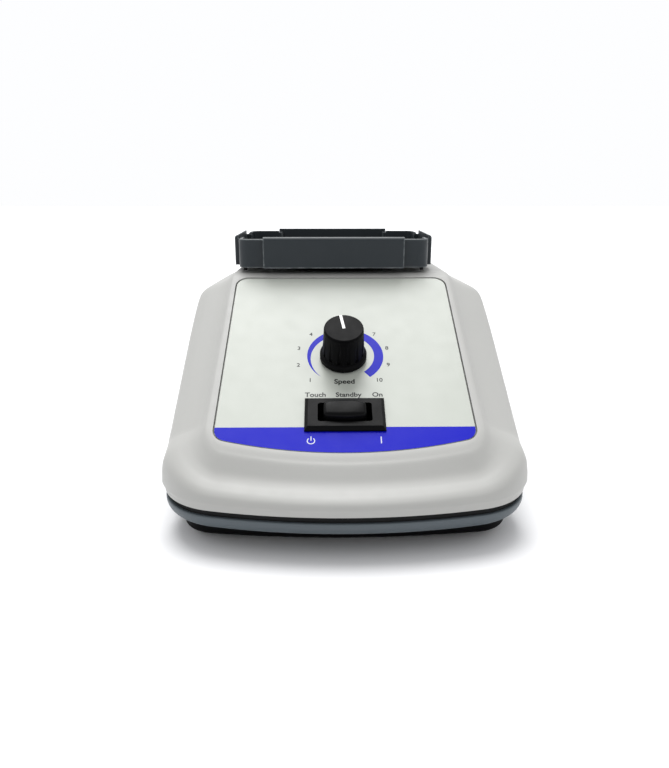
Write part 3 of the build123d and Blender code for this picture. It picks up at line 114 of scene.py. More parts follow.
# ---------------------------------------------------------------- materials
class Surface:
    """A node material built up step by step. Coordinates are the piece's own, in metres."""

    def __init__(self, name, colour, roughness, metallic=0.0, specular=0.5):
        self.material = bpy.data.materials.new(name)
        self.material.use_nodes = True
        self.tree = self.material.node_tree
        self.shader = self.tree.nodes["Principled BSDF"]
        self.shader.inputs["Metallic"].default_value = metallic
        self.shader.inputs["Specular IOR Level"].default_value = specular
        self.shader.inputs["IOR"].default_value = 1.5
        self.where = self.node("ShaderNodeTexCoord").outputs["Object"]
        self.colour = self.plain(colour)
        self.rough = roughness
        self.height = None

    def node(self, kind, **settings):
        made = self.tree.nodes.new(kind)
        for key, value in settings.items():
            setattr(made, key, value)
        return made

    def link(self, out, into):
        self.tree.links.new(out, into)

    def plain(self, colour):
        rgb = self.node("ShaderNodeRGB")
        rgb.outputs[0].default_value = (*colour, 1.0)
        return rgb.outputs[0]

    def noise(self, size, detail=3.0, stretch=(1, 1, 1)):
        """Noise from 0 to 1 whose lumps are about size metres across."""
        mapping = self.node("ShaderNodeMapping")
        mapping.inputs["Scale"].default_value = [s / size for s in stretch]
        self.link(self.where, mapping.inputs["Vector"])
        noise = self.node("ShaderNodeTexNoise")
        noise.inputs["Scale"].default_value = 1.0
        noise.inputs["Detail"].default_value = detail
        self.link(mapping.outputs[0], noise.inputs["Vector"])
        return noise.outputs["Fac"]

    def spread(self, value, low, high, from_low=0.3, from_high=0.7):
        span = self.node("ShaderNodeMapRange")
        span.inputs["From Min"].default_value = from_low
        span.inputs["From Max"].default_value = from_high
        span.inputs["To Min"].default_value = low
        span.inputs["To Max"].default_value = high
        self.link(value, span.inputs["Value"])
        return span.outputs[0]

    def tint(self, mask, colour):
        """Mixes colour in where mask is 1."""
        mix = self.node("ShaderNodeMix", data_type="RGBA")
        mix.clamp_factor = True
        self.link(mask, mix.inputs[0])
        self.link(self.colour, mix.inputs[6])
        mix.inputs[7].default_value = (*colour, 1.0)
        self.colour = mix.outputs[2]

    def vary(self, size, share, low, high):
        """Mottles the colour between low and high, by share, in patches of size."""
        self.tint(self.spread(self.noise(size), 0.0, share), low)
        self.tint(self.spread(self.noise(size * 1.7, 2.0), 0.0, share), high)

    def grain(self, size, depth, detail=2.0, stretch=(1, 1, 1)):
        """Adds fine relief. Several grains add up."""
        bump = self.node("ShaderNodeBump")
        bump.inputs["Strength"].default_value = 1.0
        bump.inputs["Distance"].default_value = depth
        self.link(self.noise(size, detail, stretch), bump.inputs["Height"])
        if self.height is not None:
            self.link(self.height, bump.inputs["Normal"])
        self.height = bump.outputs[0]

    def uneven(self, size, low, high):
        """Roughness between low and high, in patches of size."""
        self.link(self.spread(self.noise(size), low, high), self.shader.inputs["Roughness"])
        self.rough = None

    def worn(self, colour, radius, share):
        """Rubs outside edges towards colour as wear; on the tray the same tint is a painted highlight along its
        rims. Only convex edges count, and a noise breaks them up.
        """
        bevel = self.node("ShaderNodeBevel", samples=4)
        bevel.inputs["Radius"].default_value = radius
        geometry = self.node("ShaderNodeNewGeometry")
        dot = self.node("ShaderNodeVectorMath", operation="DOT_PRODUCT")
        self.link(bevel.outputs[0], dot.inputs[0])
        self.link(geometry.outputs["Normal"], dot.inputs[1])
        edge = self.spread(dot.outputs["Value"], 1.0, 0.0, 0.82, 0.99)
        broken = self.spread(self.noise(4 * MM, 4.0), 0.2, 1.0)
        both = self.node("ShaderNodeMath", operation="MULTIPLY")
        self.link(edge, both.inputs[0])
        self.link(broken, both.inputs[1])
        part = self.node("ShaderNodeMath", operation="MULTIPLY")
        part.inputs[1].default_value = share
        self.link(both.outputs[0], part.inputs[0])
        self.tint(part.outputs[0], colour)

    def dusted(self, colour, share):
        """Painted light from above: lightens what faces upward."""
        geometry = self.node("ShaderNodeNewGeometry")
        parts = self.node("ShaderNodeSeparateXYZ")
        self.link(geometry.outputs["Normal"], parts.inputs[0])
        self.tint(self.spread(parts.outputs["Z"], 0.0, share, 0.25, 0.85), colour)

    def done(self):
        self.link(self.colour, self.shader.inputs["Base Color"])
        if self.rough is not None:
            self.shader.inputs["Roughness"].default_value = self.rough
        if self.height is not None:
            self.link(self.height, self.shader.inputs["Normal"])
        return self.material


def linear_channel(value):
    share = value / 255
    return ((share + 0.055) / 1.055) ** 2.4 if value > 10 else share / 12.92


def linear(red, green, blue):
    """An 8-bit sRGB colour as the shader's linear numbers."""
    return linear_channel(red), linear_channel(green), linear_channel(blue)


def scaled(colour, by):
    return tuple(min(1.0, c * by) for c in colour)


def plastic(name, colour, rough, grain_size, grain_depth, wear_and_highlight=0.15, wear_and_highlight_colour=None,
            wear_and_highlight_width=0.7 * MM, specular=0.5, top_light_colour=None):
    """Moulded plastic, film or rubber: rough is the least and most roughness."""
    s = Surface(name, colour, rough[0], specular=specular)
    s.vary(38 * MM, 0.35, scaled(colour, 0.93), scaled(colour, 1.06))
    s.vary(grain_size, 0.21, scaled(colour, 0.95), scaled(colour, 1.04))
    # Lighter outside edges: wear, and on the tray a painted rim highlight.
    s.worn(wear_and_highlight_colour or scaled(colour, 1.35), wear_and_highlight_width, wear_and_highlight)
    # Painted light from above on upward faces.
    if top_light_colour:
        s.dusted(top_light_colour, 0.8)
    s.uneven(9 * MM, *rough)
    s.grain(grain_size, grain_depth)
    s.grain(grain_size * 7, grain_depth * 1.5)
    return s.done()


def metal(name, colour, rough, brush=(1, 1, 1), grain_size=0.5 * MM, depth=0.006 * MM):
    """Bare or plated metal: brush stretches the grain along its smallest number."""
    s = Surface(name, colour, rough[0], metallic=1.0)
    s.vary(12 * MM, 0.35, scaled(colour, 0.82), scaled(colour, 1.08))
    s.worn(scaled(colour, 1.3), 0.4 * MM, 0.4)
    s.uneven(3 * MM, *rough)
    s.grain(grain_size, depth, stretch=brush)
    return s.done()


HOUSING = linear(174, 174, 171)
SLATE = linear(41, 47, 51)
BAND = linear(82, 90, 95)
FILM = linear(180, 184, 176)
BLACK = linear(7, 7, 8)
INK_ROUGH = (0.3, 0.38)
INK_GRAIN = (0.25 * MM, 0.004 * MM)

PLASTICS = {
    "case_white": dict(colour=HOUSING, rough=(0.42, 0.52), grain_size=0.5 * MM, grain_depth=0.010 * MM,
                       wear_and_highlight=0.1, specular=0.35),
    "case_grey": dict(colour=BAND, rough=(0.38, 0.5), grain_size=0.5 * MM, grain_depth=0.008 * MM,
                      wear_and_highlight=0.2, specular=0.35),
    "tray_slate": dict(colour=SLATE, rough=(0.36, 0.48), grain_size=0.45 * MM, grain_depth=0.012 * MM,
                       # Painted highlight: a broad pale tint along the tray's rims.
                       wear_and_highlight=0.95, wear_and_highlight_colour=linear(150, 156, 158), wear_and_highlight_width=1.5 * MM,
                       # Painted light from above: the tray's upward faces are lightened.
                       specular=0.25, top_light_colour=linear(92, 96, 98)),
    "base_black": dict(colour=BLACK, rough=(0.4, 0.55), grain_size=0.6 * MM, grain_depth=0.02 * MM,
                       specular=0.05),
    "rubber_black": dict(colour=linear(22, 23, 24), rough=(0.6, 0.75), grain_size=0.4 * MM,
                         grain_depth=0.02 * MM, specular=0.15),
    "overlay_film": dict(colour=FILM, rough=INK_ROUGH, grain_size=INK_GRAIN[0],
                         grain_depth=INK_GRAIN[1], wear_and_highlight=0.05, specular=0.35),
    "knob_black": dict(colour=BLACK, rough=(0.4, 0.52), grain_size=0.35 * MM, grain_depth=0.02 * MM,
                       wear_and_highlight=0.25, specular=0.06),
    "pointer_white": dict(colour=linear(238, 238, 236), rough=(0.4, 0.5), grain_size=0.3 * MM,
                          grain_depth=0.006 * MM),
    "switch_black": dict(colour=BLACK, rough=(0.3, 0.42), grain_size=0.4 * MM,
                         grain_depth=0.012 * MM, wear_and_highlight=0.25, specular=0.08),
    "board_green": dict(colour=(0.02, 0.14, 0.05), rough=(0.3, 0.4), grain_size=0.6 * MM,
                        grain_depth=0.006 * MM),
    "component_black": dict(colour=linear(34, 34, 35), rough=(0.4, 0.55), grain_size=0.4 * MM,
                            grain_depth=0.02 * MM),
    "capacitor_sleeve": dict(colour=(0.02, 0.05, 0.25), rough=(0.2, 0.3), grain_size=0.5 * MM,
                             grain_depth=0.004 * MM),
    "fuse_glass": dict(colour=(0.7, 0.75, 0.75), rough=(0.08, 0.14), grain_size=1.0 * MM,
                       grain_depth=0.001 * MM),
    "terminal_green": dict(colour=(0.04, 0.28, 0.09), rough=(0.35, 0.45), grain_size=0.4 * MM,
                           grain_depth=0.01 * MM),
    "lead_pvc": dict(colour=(0.02, 0.02, 0.03), rough=(0.4, 0.5), grain_size=0.4 * MM,
                     grain_depth=0.008 * MM),
    "nylon": dict(colour=(0.74, 0.7, 0.6), rough=(0.4, 0.5), grain_size=0.4 * MM,
                  grain_depth=0.01 * MM),
}
METALS = {
    "steel": dict(colour=(0.60, 0.60, 0.61), rough=(0.22, 0.38)),
    "lamination": dict(colour=(0.26, 0.26, 0.28), rough=(0.4, 0.6), brush=(1, 1, 12), depth=0.03 * MM),
    "copper": dict(colour=(0.66, 0.26, 0.12), rough=(0.25, 0.4), brush=(1, 1, 8),
                   grain_size=0.6 * MM, depth=0.05 * MM),
    "bronze": dict(colour=(0.55, 0.38, 0.2), rough=(0.4, 0.55)),
    "plated_brass": dict(colour=(0.74, 0.68, 0.5), rough=(0.25, 0.35)),
    "aluminium": dict(colour=(0.72, 0.73, 0.75), rough=(0.3, 0.45), brush=(1, 9, 1)),
    "transformer_iron": dict(colour=(0.2, 0.17, 0.12), rough=(0.4, 0.6), brush=(12, 1, 1),
                             depth=0.03 * MM),
}
MATERIALS = {name: plastic(name, **look) for name, look in PLASTICS.items()}
MATERIALS.update({name: metal(name, **look) for name, look in METALS.items()})


def ink(name, colour, specular=0.5):
    return plastic(name, colour, INK_ROUGH, *INK_GRAIN, wear_and_highlight=0.0, specular=specular)


BLUE_INK = ink("printed_blue", linear(8, 14, 178), 0.1)
BLACK_INK = ink("printed_black", linear(30, 31, 31), 0.2)
WHITE_INK = ink("printed_white", linear(190, 192, 205))

for node, cad in NODES.items():
    for material_slot in cad.material_slots:
        material_slot.material = MATERIALS[SLOT_OF[node]]


# ---------------------------------------------------------------- camera
camera = bpy.data.objects.new("camera", bpy.data.cameras.new("camera"))
bpy.context.scene.collection.objects.link(camera)
bpy.context.scene.camera = camera
CAMERA_PLACE = Vector((-0.01058, -0.44403, 0.1891))
CAMERA_DOWN = 0.2888         # angles below level and to the right, in radians
CAMERA_RIGHT = 0.013
camera.location = CAMERA_PLACE
camera.rotation_euler = (math.pi / 2 - CAMERA_DOWN, 0.0, -CAMERA_RIGHT)
camera.data.sensor_width = 36.0
camera.data.lens = 31.29
camera.data.clip_start = 0.01
camera.data.clip_end = 20.0


# ---------------------------------------------------------------- printed panel graphics
def printed(name, bm, material):
    piece = finish_mesh(name, bm, smooth=False)
    piece.data.materials.append(material)
    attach(piece, "housing")


STRIPE_TOP = 134.0 * MM


def make_stripe():
    """The overlay's lower end, printed blue: its own outline, cut at the stripe's upper edge."""
    bm = bmesh.new()
    bm.from_mesh(NODES["control_overlay"].data)
    bmesh.ops.remove_doubles(bm, verts=bm.verts, dist=0.001 * MM)
    back = [f for f in bm.faces if f.normal.dot(PANEL_OUT) < 0.99]
    bmesh.ops.delete(bm, geom=back, context="FACES")
    everything = bm.verts[:] + bm.edges[:] + bm.faces[:]
    bmesh.ops.bisect_plane(bm, geom=everything, plane_co=on_panel(0, STRIPE_TOP), plane_no=PANEL_UP,
                           clear_outer=True)
    bmesh.ops.dissolve_limit(bm, angle_limit=0.01, verts=bm.verts, edges=bm.edges)
    grown = bmesh.ops.extrude_face_region(bm, geom=bm.faces[:])
    risen = [v for v in grown["geom"] if isinstance(v, bmesh.types.BMVert)]
    bmesh.ops.translate(bm, verts=risen, vec=PANEL_OUT * INK)
    printed("printed_stripe", bm, BLUE_INK)


ARC_CENTRE = (1.3 * MM, KNOB_TO_TOP - 1.8 * MM)
ARC_RADIUS = 23.6 * MM
ARC_WIDTH = 5.7 * MM
ARC_FULL = 0.66              # the arc has its full width from this share of its length on
ARC_START = math.radians(230)
ARC_END = math.radians(-52)


def make_arc():
    """The speed arc: its outer edge is round, and it widens like a crescent from the slow end."""
    steps = 96
    outer = arc_points(ARC_RADIUS, ARC_START, ARC_END, steps)
    inner = []
    for i in range(steps, 0, -1):
        share = i / steps
        angle = ARC_START + (ARC_END - ARC_START) * share
        radius = ARC_RADIUS - ARC_WIDTH * math.sin(math.pi / 2 * min(1.0, share / ARC_FULL))
        inner.append((radius * math.cos(angle), radius * math.sin(angle)))
    bm = bmesh.new()
    place = panel_matrix(*ARC_CENTRE)
    rims = []
    for level in (0.0, INK):
        ring_outer = [bm.verts.new(place @ Vector((x, y, level))) for x, y in outer]
        ring_inner = [bm.verts.new(place @ Vector((x, y, level))) for x, y in reversed(inner)]
        bm.faces.new((ring_outer[0], ring_outer[1], ring_inner[0]))
        for i in range(1, steps):
            bm.faces.new((ring_outer[i], ring_outer[i + 1], ring_inner[i], ring_inner[i - 1]))
        rims.append(ring_outer + ring_inner[::-1])
    walls(bm, *rims)
    printed("printed_speed_arc", bm, BLUE_INK)


CAP_SHARE = 0.73             # height of a capital as a share of the font's size


def make_label(name, text, x, down, capital, bold):
    """Raised print: one word or number, centred at (x, down)."""
    curve = bpy.data.curves.new(name, "FONT")
    curve.body = text
    curve.size = capital / CAP_SHARE
    curve.align_x = "CENTER"
    curve.align_y = "CENTER"
    curve.extrude = INK / 2
    curve.offset = bold
    curve.resolution_u = 4
    writer = bpy.data.objects.new(name + "_text", curve)
    bpy.context.scene.collection.objects.link(writer)
    bpy.context.view_layer.update()
    mesh = bpy.data.meshes.new_from_object(writer.evaluated_get(bpy.context.evaluated_depsgraph_get()))
    bpy.data.objects.remove(writer)
    mesh.name = name
    mesh.transform(panel_matrix(x, down, INK / 2))
    piece = bpy.data.objects.new(name, mesh)
    bpy.context.scene.collection.objects.link(piece)
    piece.data.materials.clear()
    piece.data.materials.append(BLACK_INK)
    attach(piece, "housing")


NUMBER_RADIUS = 28.5 * MM
NUMBER_HEIGHT = 3.1 * MM
NUMBER_RISE = 0.8 * MM       # the numbers' circle sits this far up the slope from the knob
FIRST_NUMBER = 225           # degrees
NUMBER_STEP = 30
# The words: text, x, distance down from the overlay's upper edge, capital height and boldness, in mm.
WORDS = (("Speed", 0.4, 99.0, 3.75, 0.12), ("Touch", -16.9, 109.6, 3.5, 0.11),
         ("Standby", 2.5, 109.6, 3.5, 0.11), ("On", 19.5, 109.6, 3.5, 0.11))


def make_numbers():
    for number in range(1, 11):
        angle = math.radians(FIRST_NUMBER - NUMBER_STEP * (number - 1))
        x = NUMBER_RADIUS * math.cos(angle) + (len(str(number)) - 1) * NUMBER_HEIGHT / 3
        down = KNOB_TO_TOP - NUMBER_RISE - NUMBER_RADIUS * math.sin(angle)
        make_label(f"printed_number_{number}", str(number), x, down, NUMBER_HEIGHT, 0.07 * MM)


def make_words():
    for word, x, down, capital, bold in WORDS:
        make_label("printed_" + word.lower(), word, x * MM, down * MM, capital * MM, bold * MM)


MARK_HALF_LINE = 0.3 * MM
MARK_RING = 2.05 * MM
MARK_OPENING = math.radians(38)
MARK_STEPS = 28
STANDBY_MARK = (-19.1 * MM, 143.8 * MM)
ON_MARK = (19.8 * MM, 143.7 * MM)


def make_symbols():
    """Two white marks on the stripe: a broken ring with a bar, and a plain bar."""
    bm = bmesh.new()
    place = panel_matrix(*STANDBY_MARK, INK)
    start = math.pi / 2 + MARK_OPENING
    end = math.pi / 2 + 2 * math.pi - MARK_OPENING
    outline = arc_points(MARK_RING + MARK_HALF_LINE, start, end, MARK_STEPS)
    outline += arc_points(MARK_RING - MARK_HALF_LINE, end, start, MARK_STEPS)
    levels = [[bm.verts.new(place @ Vector((x, y, level))) for x, y in outline] for level in (0.0, INK)]
    for ring in levels:
        for i in range(MARK_STEPS):
            j = len(outline) - 1 - i
            bm.faces.new((ring[i], ring[i + 1], ring[j - 1], ring[j]))
    walls(bm, *levels)
    prism(bm, rectangle(-MARK_HALF_LINE, MARK_HALF_LINE, 0.2 * MM, 3.1 * MM), place, 0.0, INK)
    printed("printed_standby_mark", bm, WHITE_INK)
    bm = bmesh.new()
    bar = rectangle(-MARK_HALF_LINE, MARK_HALF_LINE, -2.0 * MM, 2.7 * MM)
    prism(bm, bar, panel_matrix(*ON_MARK, INK), 0.0, INK)
    printed("printed_on_mark", bm, WHITE_INK)


make_stripe()
make_arc()
make_numbers()
make_words()
make_symbols()


# ---------------------------------------------------------------- upper case
CASE_LOW, CASE_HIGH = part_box("top_shell")
CASE_PLAN = dict(front_half=104.8 * MM, front_y=CASE_LOW.y, front_bow=19 * MM, back_half=92 * MM,
                 back_y=CASE_HIGH.y, back_bow=4 * MM, front_r=40 * MM, back_r=34 * MM)
BLOCK_PLAN = dict(front_half=79.3 * MM, front_y=-112.3 * MM, front_bow=10 * MM, back_half=74 * MM,
                  back_y=119 * MM, back_bow=2.5 * MM, front_r=16 * MM, back_r=22 * MM)
CASE_COUNTS = (26, 22, 78, 16, 20)      # pieces of each run of the outline, front to back
BLOCK_COUNTS = (60, 30, 2, 30, 40)
WALL = 3 * MM
FLANK_DROP = 30 * MM         # the flank starts this far under the flat top
FLANK_STEPS = 8
DROP_BLEND = 3 * MM
LOWEST_FLANK = 4 * MM        # least height of flank over the seam
BEND_LENGTH = 4.9 * MM       # half length of the bend between the panel and the flat top
PANEL_RISE = -PANEL_OUT.y / PANEL_OUT.z
RIM_LIFT = 0.5 * MM          # the panel's plane over the overlay's face
# Section from the flank's top to the flat: share of the way in, and share of the drop still to climb.
SIDE_SECTION = ((0, 1), (.012, .8), (.05, .6), (.14, .445), (.3, .345), (.5, .275), (.7, .21),
                (.86, .14), (.96, .06), (1.02, .012), (1.12, 0), (1.25, 0))
FRONT_SECTION = ((0, 1), (.03, .9), (.08, .82), (.18, .74), (.32, .67), (.47, .6), (.62, .485),
                 (.76, .3), (.9, .11), (1.0, .025), (1.12, 0), (1.25, 0))
# Rounded foot of the flank: rise over the seam and inset, in mm.
SEAM_ROUND = ((0, .5), (.15, .2), (.5, .05), (1.2, 0), (2.6, 0))
SIDE_SWELL = 5.4 * MM        # the sides would swell this far past the seam, halfway along
LEAST_SWELL = 0.01 * MM


def half_plan(front_half, front_y, front_bow, back_half, back_y, back_bow, front_r, back_r, counts):
    """Half of a bowed plan with rounded corners, from front middle to back middle.

    Gives (point, inward direction) pairs.
    """
    front_big = (front_half ** 2 + front_bow ** 2) / (2 * front_bow)
    back_big = (back_half ** 2 + back_bow ** 2) / (2 * back_bow)
    front_middle = Vector((0, front_y + front_big))
    back_middle = Vector((0, back_y - back_big))
    low = Vector((front_half, front_y + front_bow))
    high = Vector((back_half, back_y - back_bow))
    along = (high - low).normalized()
    inward = Vector((-along.y, along.x))
    to_low = low + inward * front_r - front_middle
    to_high = high + inward * back_r - back_middle
    reach = to_low.dot(along)
    front_run = -reach - math.sqrt(reach ** 2 - to_low.length_squared + (front_big - front_r) ** 2)
    reach = to_high.dot(along)
    back_run = reach - math.sqrt(reach ** 2 - to_high.length_squared + (back_big - back_r) ** 2)
    front_centre = low + along * front_run + inward * front_r
    back_centre = high - along * back_run + inward * back_r

    def angle(v):
        return math.atan2(v.y, v.x)

    side = angle(-inward)
    arcs = [
        (front_middle, front_big, -math.pi / 2, angle(front_centre - front_middle), counts[0]),
        (front_centre, front_r, angle(front_centre - front_middle), side, counts[1]),
        (back_centre, back_r, side, angle(back_centre - back_middle), counts[3]),
        (back_middle, back_big, angle(back_centre - back_middle), math.pi / 2, counts[4]),
    ]
    runs = []
    for centre, radius, start, end, count in arcs:
        run = []
        for i in range(count + 1):
            a = start + (end - start) * i / count
            out = Vector((math.cos(a), math.sin(a)))
            run.append((centre + out * radius, -out))
        runs.append(run)
    start, end = runs[1][-1][0], runs[2][0][0]
    straight = [(start.lerp(end, i / counts[2]), inward) for i in range(1, counts[2])]
    return runs[0][:-1] + runs[1] + straight + runs[2] + runs[3][1:]


def closed_plan(counts, grow=0.0, **plan):
    """The whole outline as a list of (x, y)."""
    half = [p - inward * grow for p, inward in half_plan(counts=counts, **plan)]
    return [(p.x, p.y) for p in half] + [(-p.x, p.y) for p in half[-2:0:-1]]


def plateau(y):
    """Height of the raised block's top: the panel's plane, a bend, then level."""
    bend = RIDGE_Y - y
    if bend >= BEND_LENGTH:
        return CASE_HIGH.z - PANEL_RISE * bend
    if bend <= -BEND_LENGTH:
        return CASE_HIGH.z
    return CASE_HIGH.z - PANEL_RISE * (BEND_LENGTH + bend) ** 2 / (4 * BEND_LENGTH)


PANEL_POINT = on_panel(0, 0, RIM_LIFT)
RIDGE_Y = PANEL_POINT.y + (CASE_HIGH.z - PANEL_POINT.z) / PANEL_RISE


def hit(start, way, polyline):
    """Distance from start along way to the nearest crossing with a polyline."""
    crossings = []
    for a, b in zip(polyline, polyline[1:]):
        edge = b - a
        turn = way.x * edge.y - way.y * edge.x
        if abs(turn) < 1e-12:
            continue
        gap = a - start
        share = (gap.x * way.y - gap.y * way.x) / turn
        far = (gap.x * edge.y - gap.y * edge.x) / turn
        if -1e-6 <= share <= 1 + 1e-6 and far > 0:
            crossings.append(far)
    return min(crossings)


def smooth_run(points, steps):
    """Catmull-Rom curve through 3-D points."""
    run = []
    count = len(points)
    for i in range(count - 1):
        a = points[max(i - 1, 0)]
        b, c = points[i], points[i + 1]
        d = points[min(i + 2, count - 1)]
        for k in range(steps):
            t = k / steps
            run.append(0.5 * ((2 * b) + (c - a) * t + (2 * a - 5 * b + 4 * c - d) * t ** 2
                              + (3 * b - a - 3 * c + d) * t ** 3))
    return run + [points[-1]]


def swell(point, inward):
    """How far the flank stands out beyond the seam at its top, kept within the case's width."""
    along = (2 * point.y - CASE_LOW.y - CASE_HIGH.y) / (CASE_HIGH.y - CASE_LOW.y)
    full = SIDE_SWELL * inward.x ** 2 * max(0.0, 1 - along ** 2) ** 1.5
    room = max(0.0, CASE_HIGH.x - abs(point.x))
    if min(full, room) < LEAST_SWELL:
        return 0.0
    return (full ** -6 + room ** -6) ** (-1 / 6)


def case_section(point, inward, block):
    """One section of the upper case, from the seam up to the flat inside the block's edge."""
    out = swell(point, inward)
    width = hit(point, inward, block)
    foot = point + inward * width
    top = plateau(foot.y)
    room = top - CASE_LOW.z - LOWEST_FLANK
    drop = FLANK_DROP
    if room < 2 * FLANK_DROP:
        excess = FLANK_DROP - room
        drop -= 0.5 * (excess + math.hypot(excess, DROP_BLEND))
    frontness = max(0.0, inward.y) ** 2
    controls = []
    for (s0, g0), (s1, g1) in zip(SIDE_SECTION, FRONT_SECTION):
        share = s0 + (s1 - s0) * frontness
        climb = g0 + (g1 - g0) * frontness
        place = point + inward * (share * (width + out) - out)
        height = plateau(place.y if share > 1 else foot.y) - drop * climb
        controls.append(Vector((place.x, place.y, height)))
    flank = []
    for rise, inset in SEAM_ROUND:
        place = point + inward * (inset * MM)
        flank.append(Vector((place.x, place.y, CASE_LOW.z + rise * MM)))
    start = flank[-1]
    for i in range(1, FLANK_STEPS):
        rise = i / FLANK_STEPS
        place = start.lerp(controls[0], rise)
        lead = math.sin(math.pi / 2 * rise) - rise
        flank.append(place - Vector((inward.x, inward.y, 0)) * (out * lead))
    return flank + smooth_run(controls, 4)


def ring_prism(bm, outer, inner, place, low, high):
    """A closed straight ring between two outlines with the same number of points."""
    rings = []
    for outline in (outer, inner):
        for level in (low, high):
            rings.append([bm.verts.new(place @ Vector((x, y, level))) for x, y in outline])
    outer_low, outer_high, inner_low, inner_high = rings
    walls(bm, outer_low, outer_high)
    walls(bm, outer_high, inner_high)
    walls(bm, inner_high, inner_low)
    walls(bm, inner_low, outer_low)


def circle(radius, centre, count=48):
    return arc_points(radius, 0, 2 * math.pi, count, centre)[:-1]


def boolean(piece, build, operation):
    """Cuts or joins what build puts in a bmesh, and keeps the result as the piece's own mesh."""
    bm = bmesh.new()
    build(bm)
    tool = finish_mesh("tool", bm, smooth=False)
    change = piece.modifiers.new("boolean", "BOOLEAN")
    change.operation = operation
    change.solver = "MANIFOLD"
    change.object = tool
    bake_modifiers(piece)
    bpy.data.objects.remove(tool)


def bake_modifiers(piece):
    """Replaces the piece's mesh by what its modifiers make of it."""
    bpy.context.view_layer.update()
    made = bpy.data.meshes.new_from_object(piece.evaluated_get(bpy.context.evaluated_depsgraph_get()))
    piece.modifiers.clear()
    piece.data = made


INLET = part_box("power_inlet")
INLET_X = (INLET[0].x + INLET[1].x) / 2
INLET_Z = (INLET[0].z + INLET[1].z) / 2
INLET_BODY = (14.1 * MM, 10.6 * MM)    # half width and half height of its opening
INLET_BODY_Y = 112 * MM
POCKET = (25 * MM, 14 * MM)            # half width and half height of the pocket round it
POCKET_Y = 130 * MM
HEAD_AXIS = Vector(JOINTS["rotor_spin"]["pos_m"])
HEAD_HOLE_R = 25 * MM
CASE_SCREWS = ((-80, -84), (80, -84), (-72, 104), (72, 104))
SCREW_HOLE_R = 2.02 * MM
SCREW_HOLE_TOP = 41 * MM
TOWER_R = 5 * MM
TOWER_FOOT = 32 * MM
VENT_COUNT = 7
VENT_LEFT_X = -58 * MM
VENT_PITCH = 8 * MM
VENT_W = 3.2 * MM
VENT_Z = (44 * MM, 72 * MM)
VENT_Y = 120 * MM
SWITCH_DOWN = 125.2 * MM
SWITCH_HOLE = (18.5 * MM, 10.5 * MM)   # half width and half height
KNOB_HOLE_R = 3.6 * MM
PANEL_CUT = (-8 * MM, 4 * MM)          # cuts through the panel run between these levels
LEVEL = Matrix.Identity(4)
FACE_PLAN = dict(front_half=73.3 * MM, front_y=-151.9 * MM, front_bow=10.2 * MM, back_half=71.8 * MM,
                 back_y=0.0, back_bow=0.01 * MM, front_r=8 * MM, back_r=8 * MM)
FACE_COUNTS = (16, 10, 20, 10, 4)
RECESS_GAP = 0.9 * MM
RECESS_CUT = (-0.5 * MM, 9 * MM)
GROOVE_INSET = 0.3 * MM
GROOVE_CUT = (-2.2 * MM, 1 * MM)


def add_inside(bm, towers):
    """Screw towers under the ceiling and the thick wall behind the inlet."""
    for middle, top in towers:
        prism(bm, circle(TOWER_R, middle, 32), LEVEL, TOWER_FOOT, top)
    half_w, half_h = POCKET[0] + WALL, POCKET[1] + WALL
    outline = rectangle(INLET_X - half_w, INLET_X + half_w, POCKET_Y - WALL, POCKET_Y + 2 * MM)
    prism(bm, outline, LEVEL, INLET_Z - half_h, INLET_Z + half_h)


def cut_recess(bm):
    """The overlay's recess."""
    outer = closed_plan(FACE_COUNTS, grow=RECESS_GAP, **FACE_PLAN)
    prism(bm, outer, panel_matrix(0, 0), *RECESS_CUT)


def cut_groove(bm):
    """Narrow channel round the overlay, deeper than its recess."""
    inner = closed_plan(FACE_COUNTS, grow=-GROOVE_INSET, **FACE_PLAN)
    outer = closed_plan(FACE_COUNTS, grow=RECESS_GAP, **FACE_PLAN)
    ring_prism(bm, outer, inner, panel_matrix(0, 0), *GROOVE_CUT)


def cut_through_back(bm, half_w, half_h, y):
    """A square opening round the inlet's middle, from y out through the rear wall."""
    outline = rectangle(INLET_X - half_w, INLET_X + half_w, y, CASE_HIGH.y + WALL)
    prism(bm, outline, LEVEL, INLET_Z - half_h, INLET_Z + half_h)


def cut_pocket(bm):
    """The pocket round the inlet."""
    cut_through_back(bm, *POCKET, POCKET_Y)


def cut_holes(bm):
    """Openings for the switch, speed control, head, inlet, air and screws."""
    half_w, half_h = SWITCH_HOLE
    window = rectangle(-half_w, half_w, -half_h, half_h)
    prism(bm, window, panel_matrix(0, SWITCH_DOWN), *PANEL_CUT)
    prism(bm, circle(KNOB_HOLE_R, (0, 0)), panel_matrix(0, KNOB_TO_TOP), *PANEL_CUT)
    head = circle(HEAD_HOLE_R, (HEAD_AXIS.x, HEAD_AXIS.y), 96)
    prism(bm, head, LEVEL, CASE_HIGH.z - 3 * WALL, CASE_HIGH.z + WALL)
    cut_through_back(bm, *INLET_BODY, INLET_BODY_Y)
    for i in range(VENT_COUNT):
        x = VENT_LEFT_X + VENT_PITCH * i
        prism(bm, rectangle(x, x + VENT_W, VENT_Y, CASE_HIGH.y + WALL), LEVEL, *VENT_Z)
    for x, y in CASE_SCREWS:
        hole = circle(SCREW_HOLE_R, (x * MM, y * MM), 24)
        prism(bm, hole, LEVEL, CASE_LOW.z - WALL, SCREW_HOLE_TOP)


def ceiling_over(case, middle):
    """Lowest height of the shell's inside over a tower."""
    heights = []
    for x, y in circle(TOWER_R, middle, 12):
        _, place, _, _ = case.ray_cast(Vector((x, y, CASE_LOW.z + 2 * WALL)), Vector((0, 0, 1)))
        heights.append(place.z)
    return min(heights)


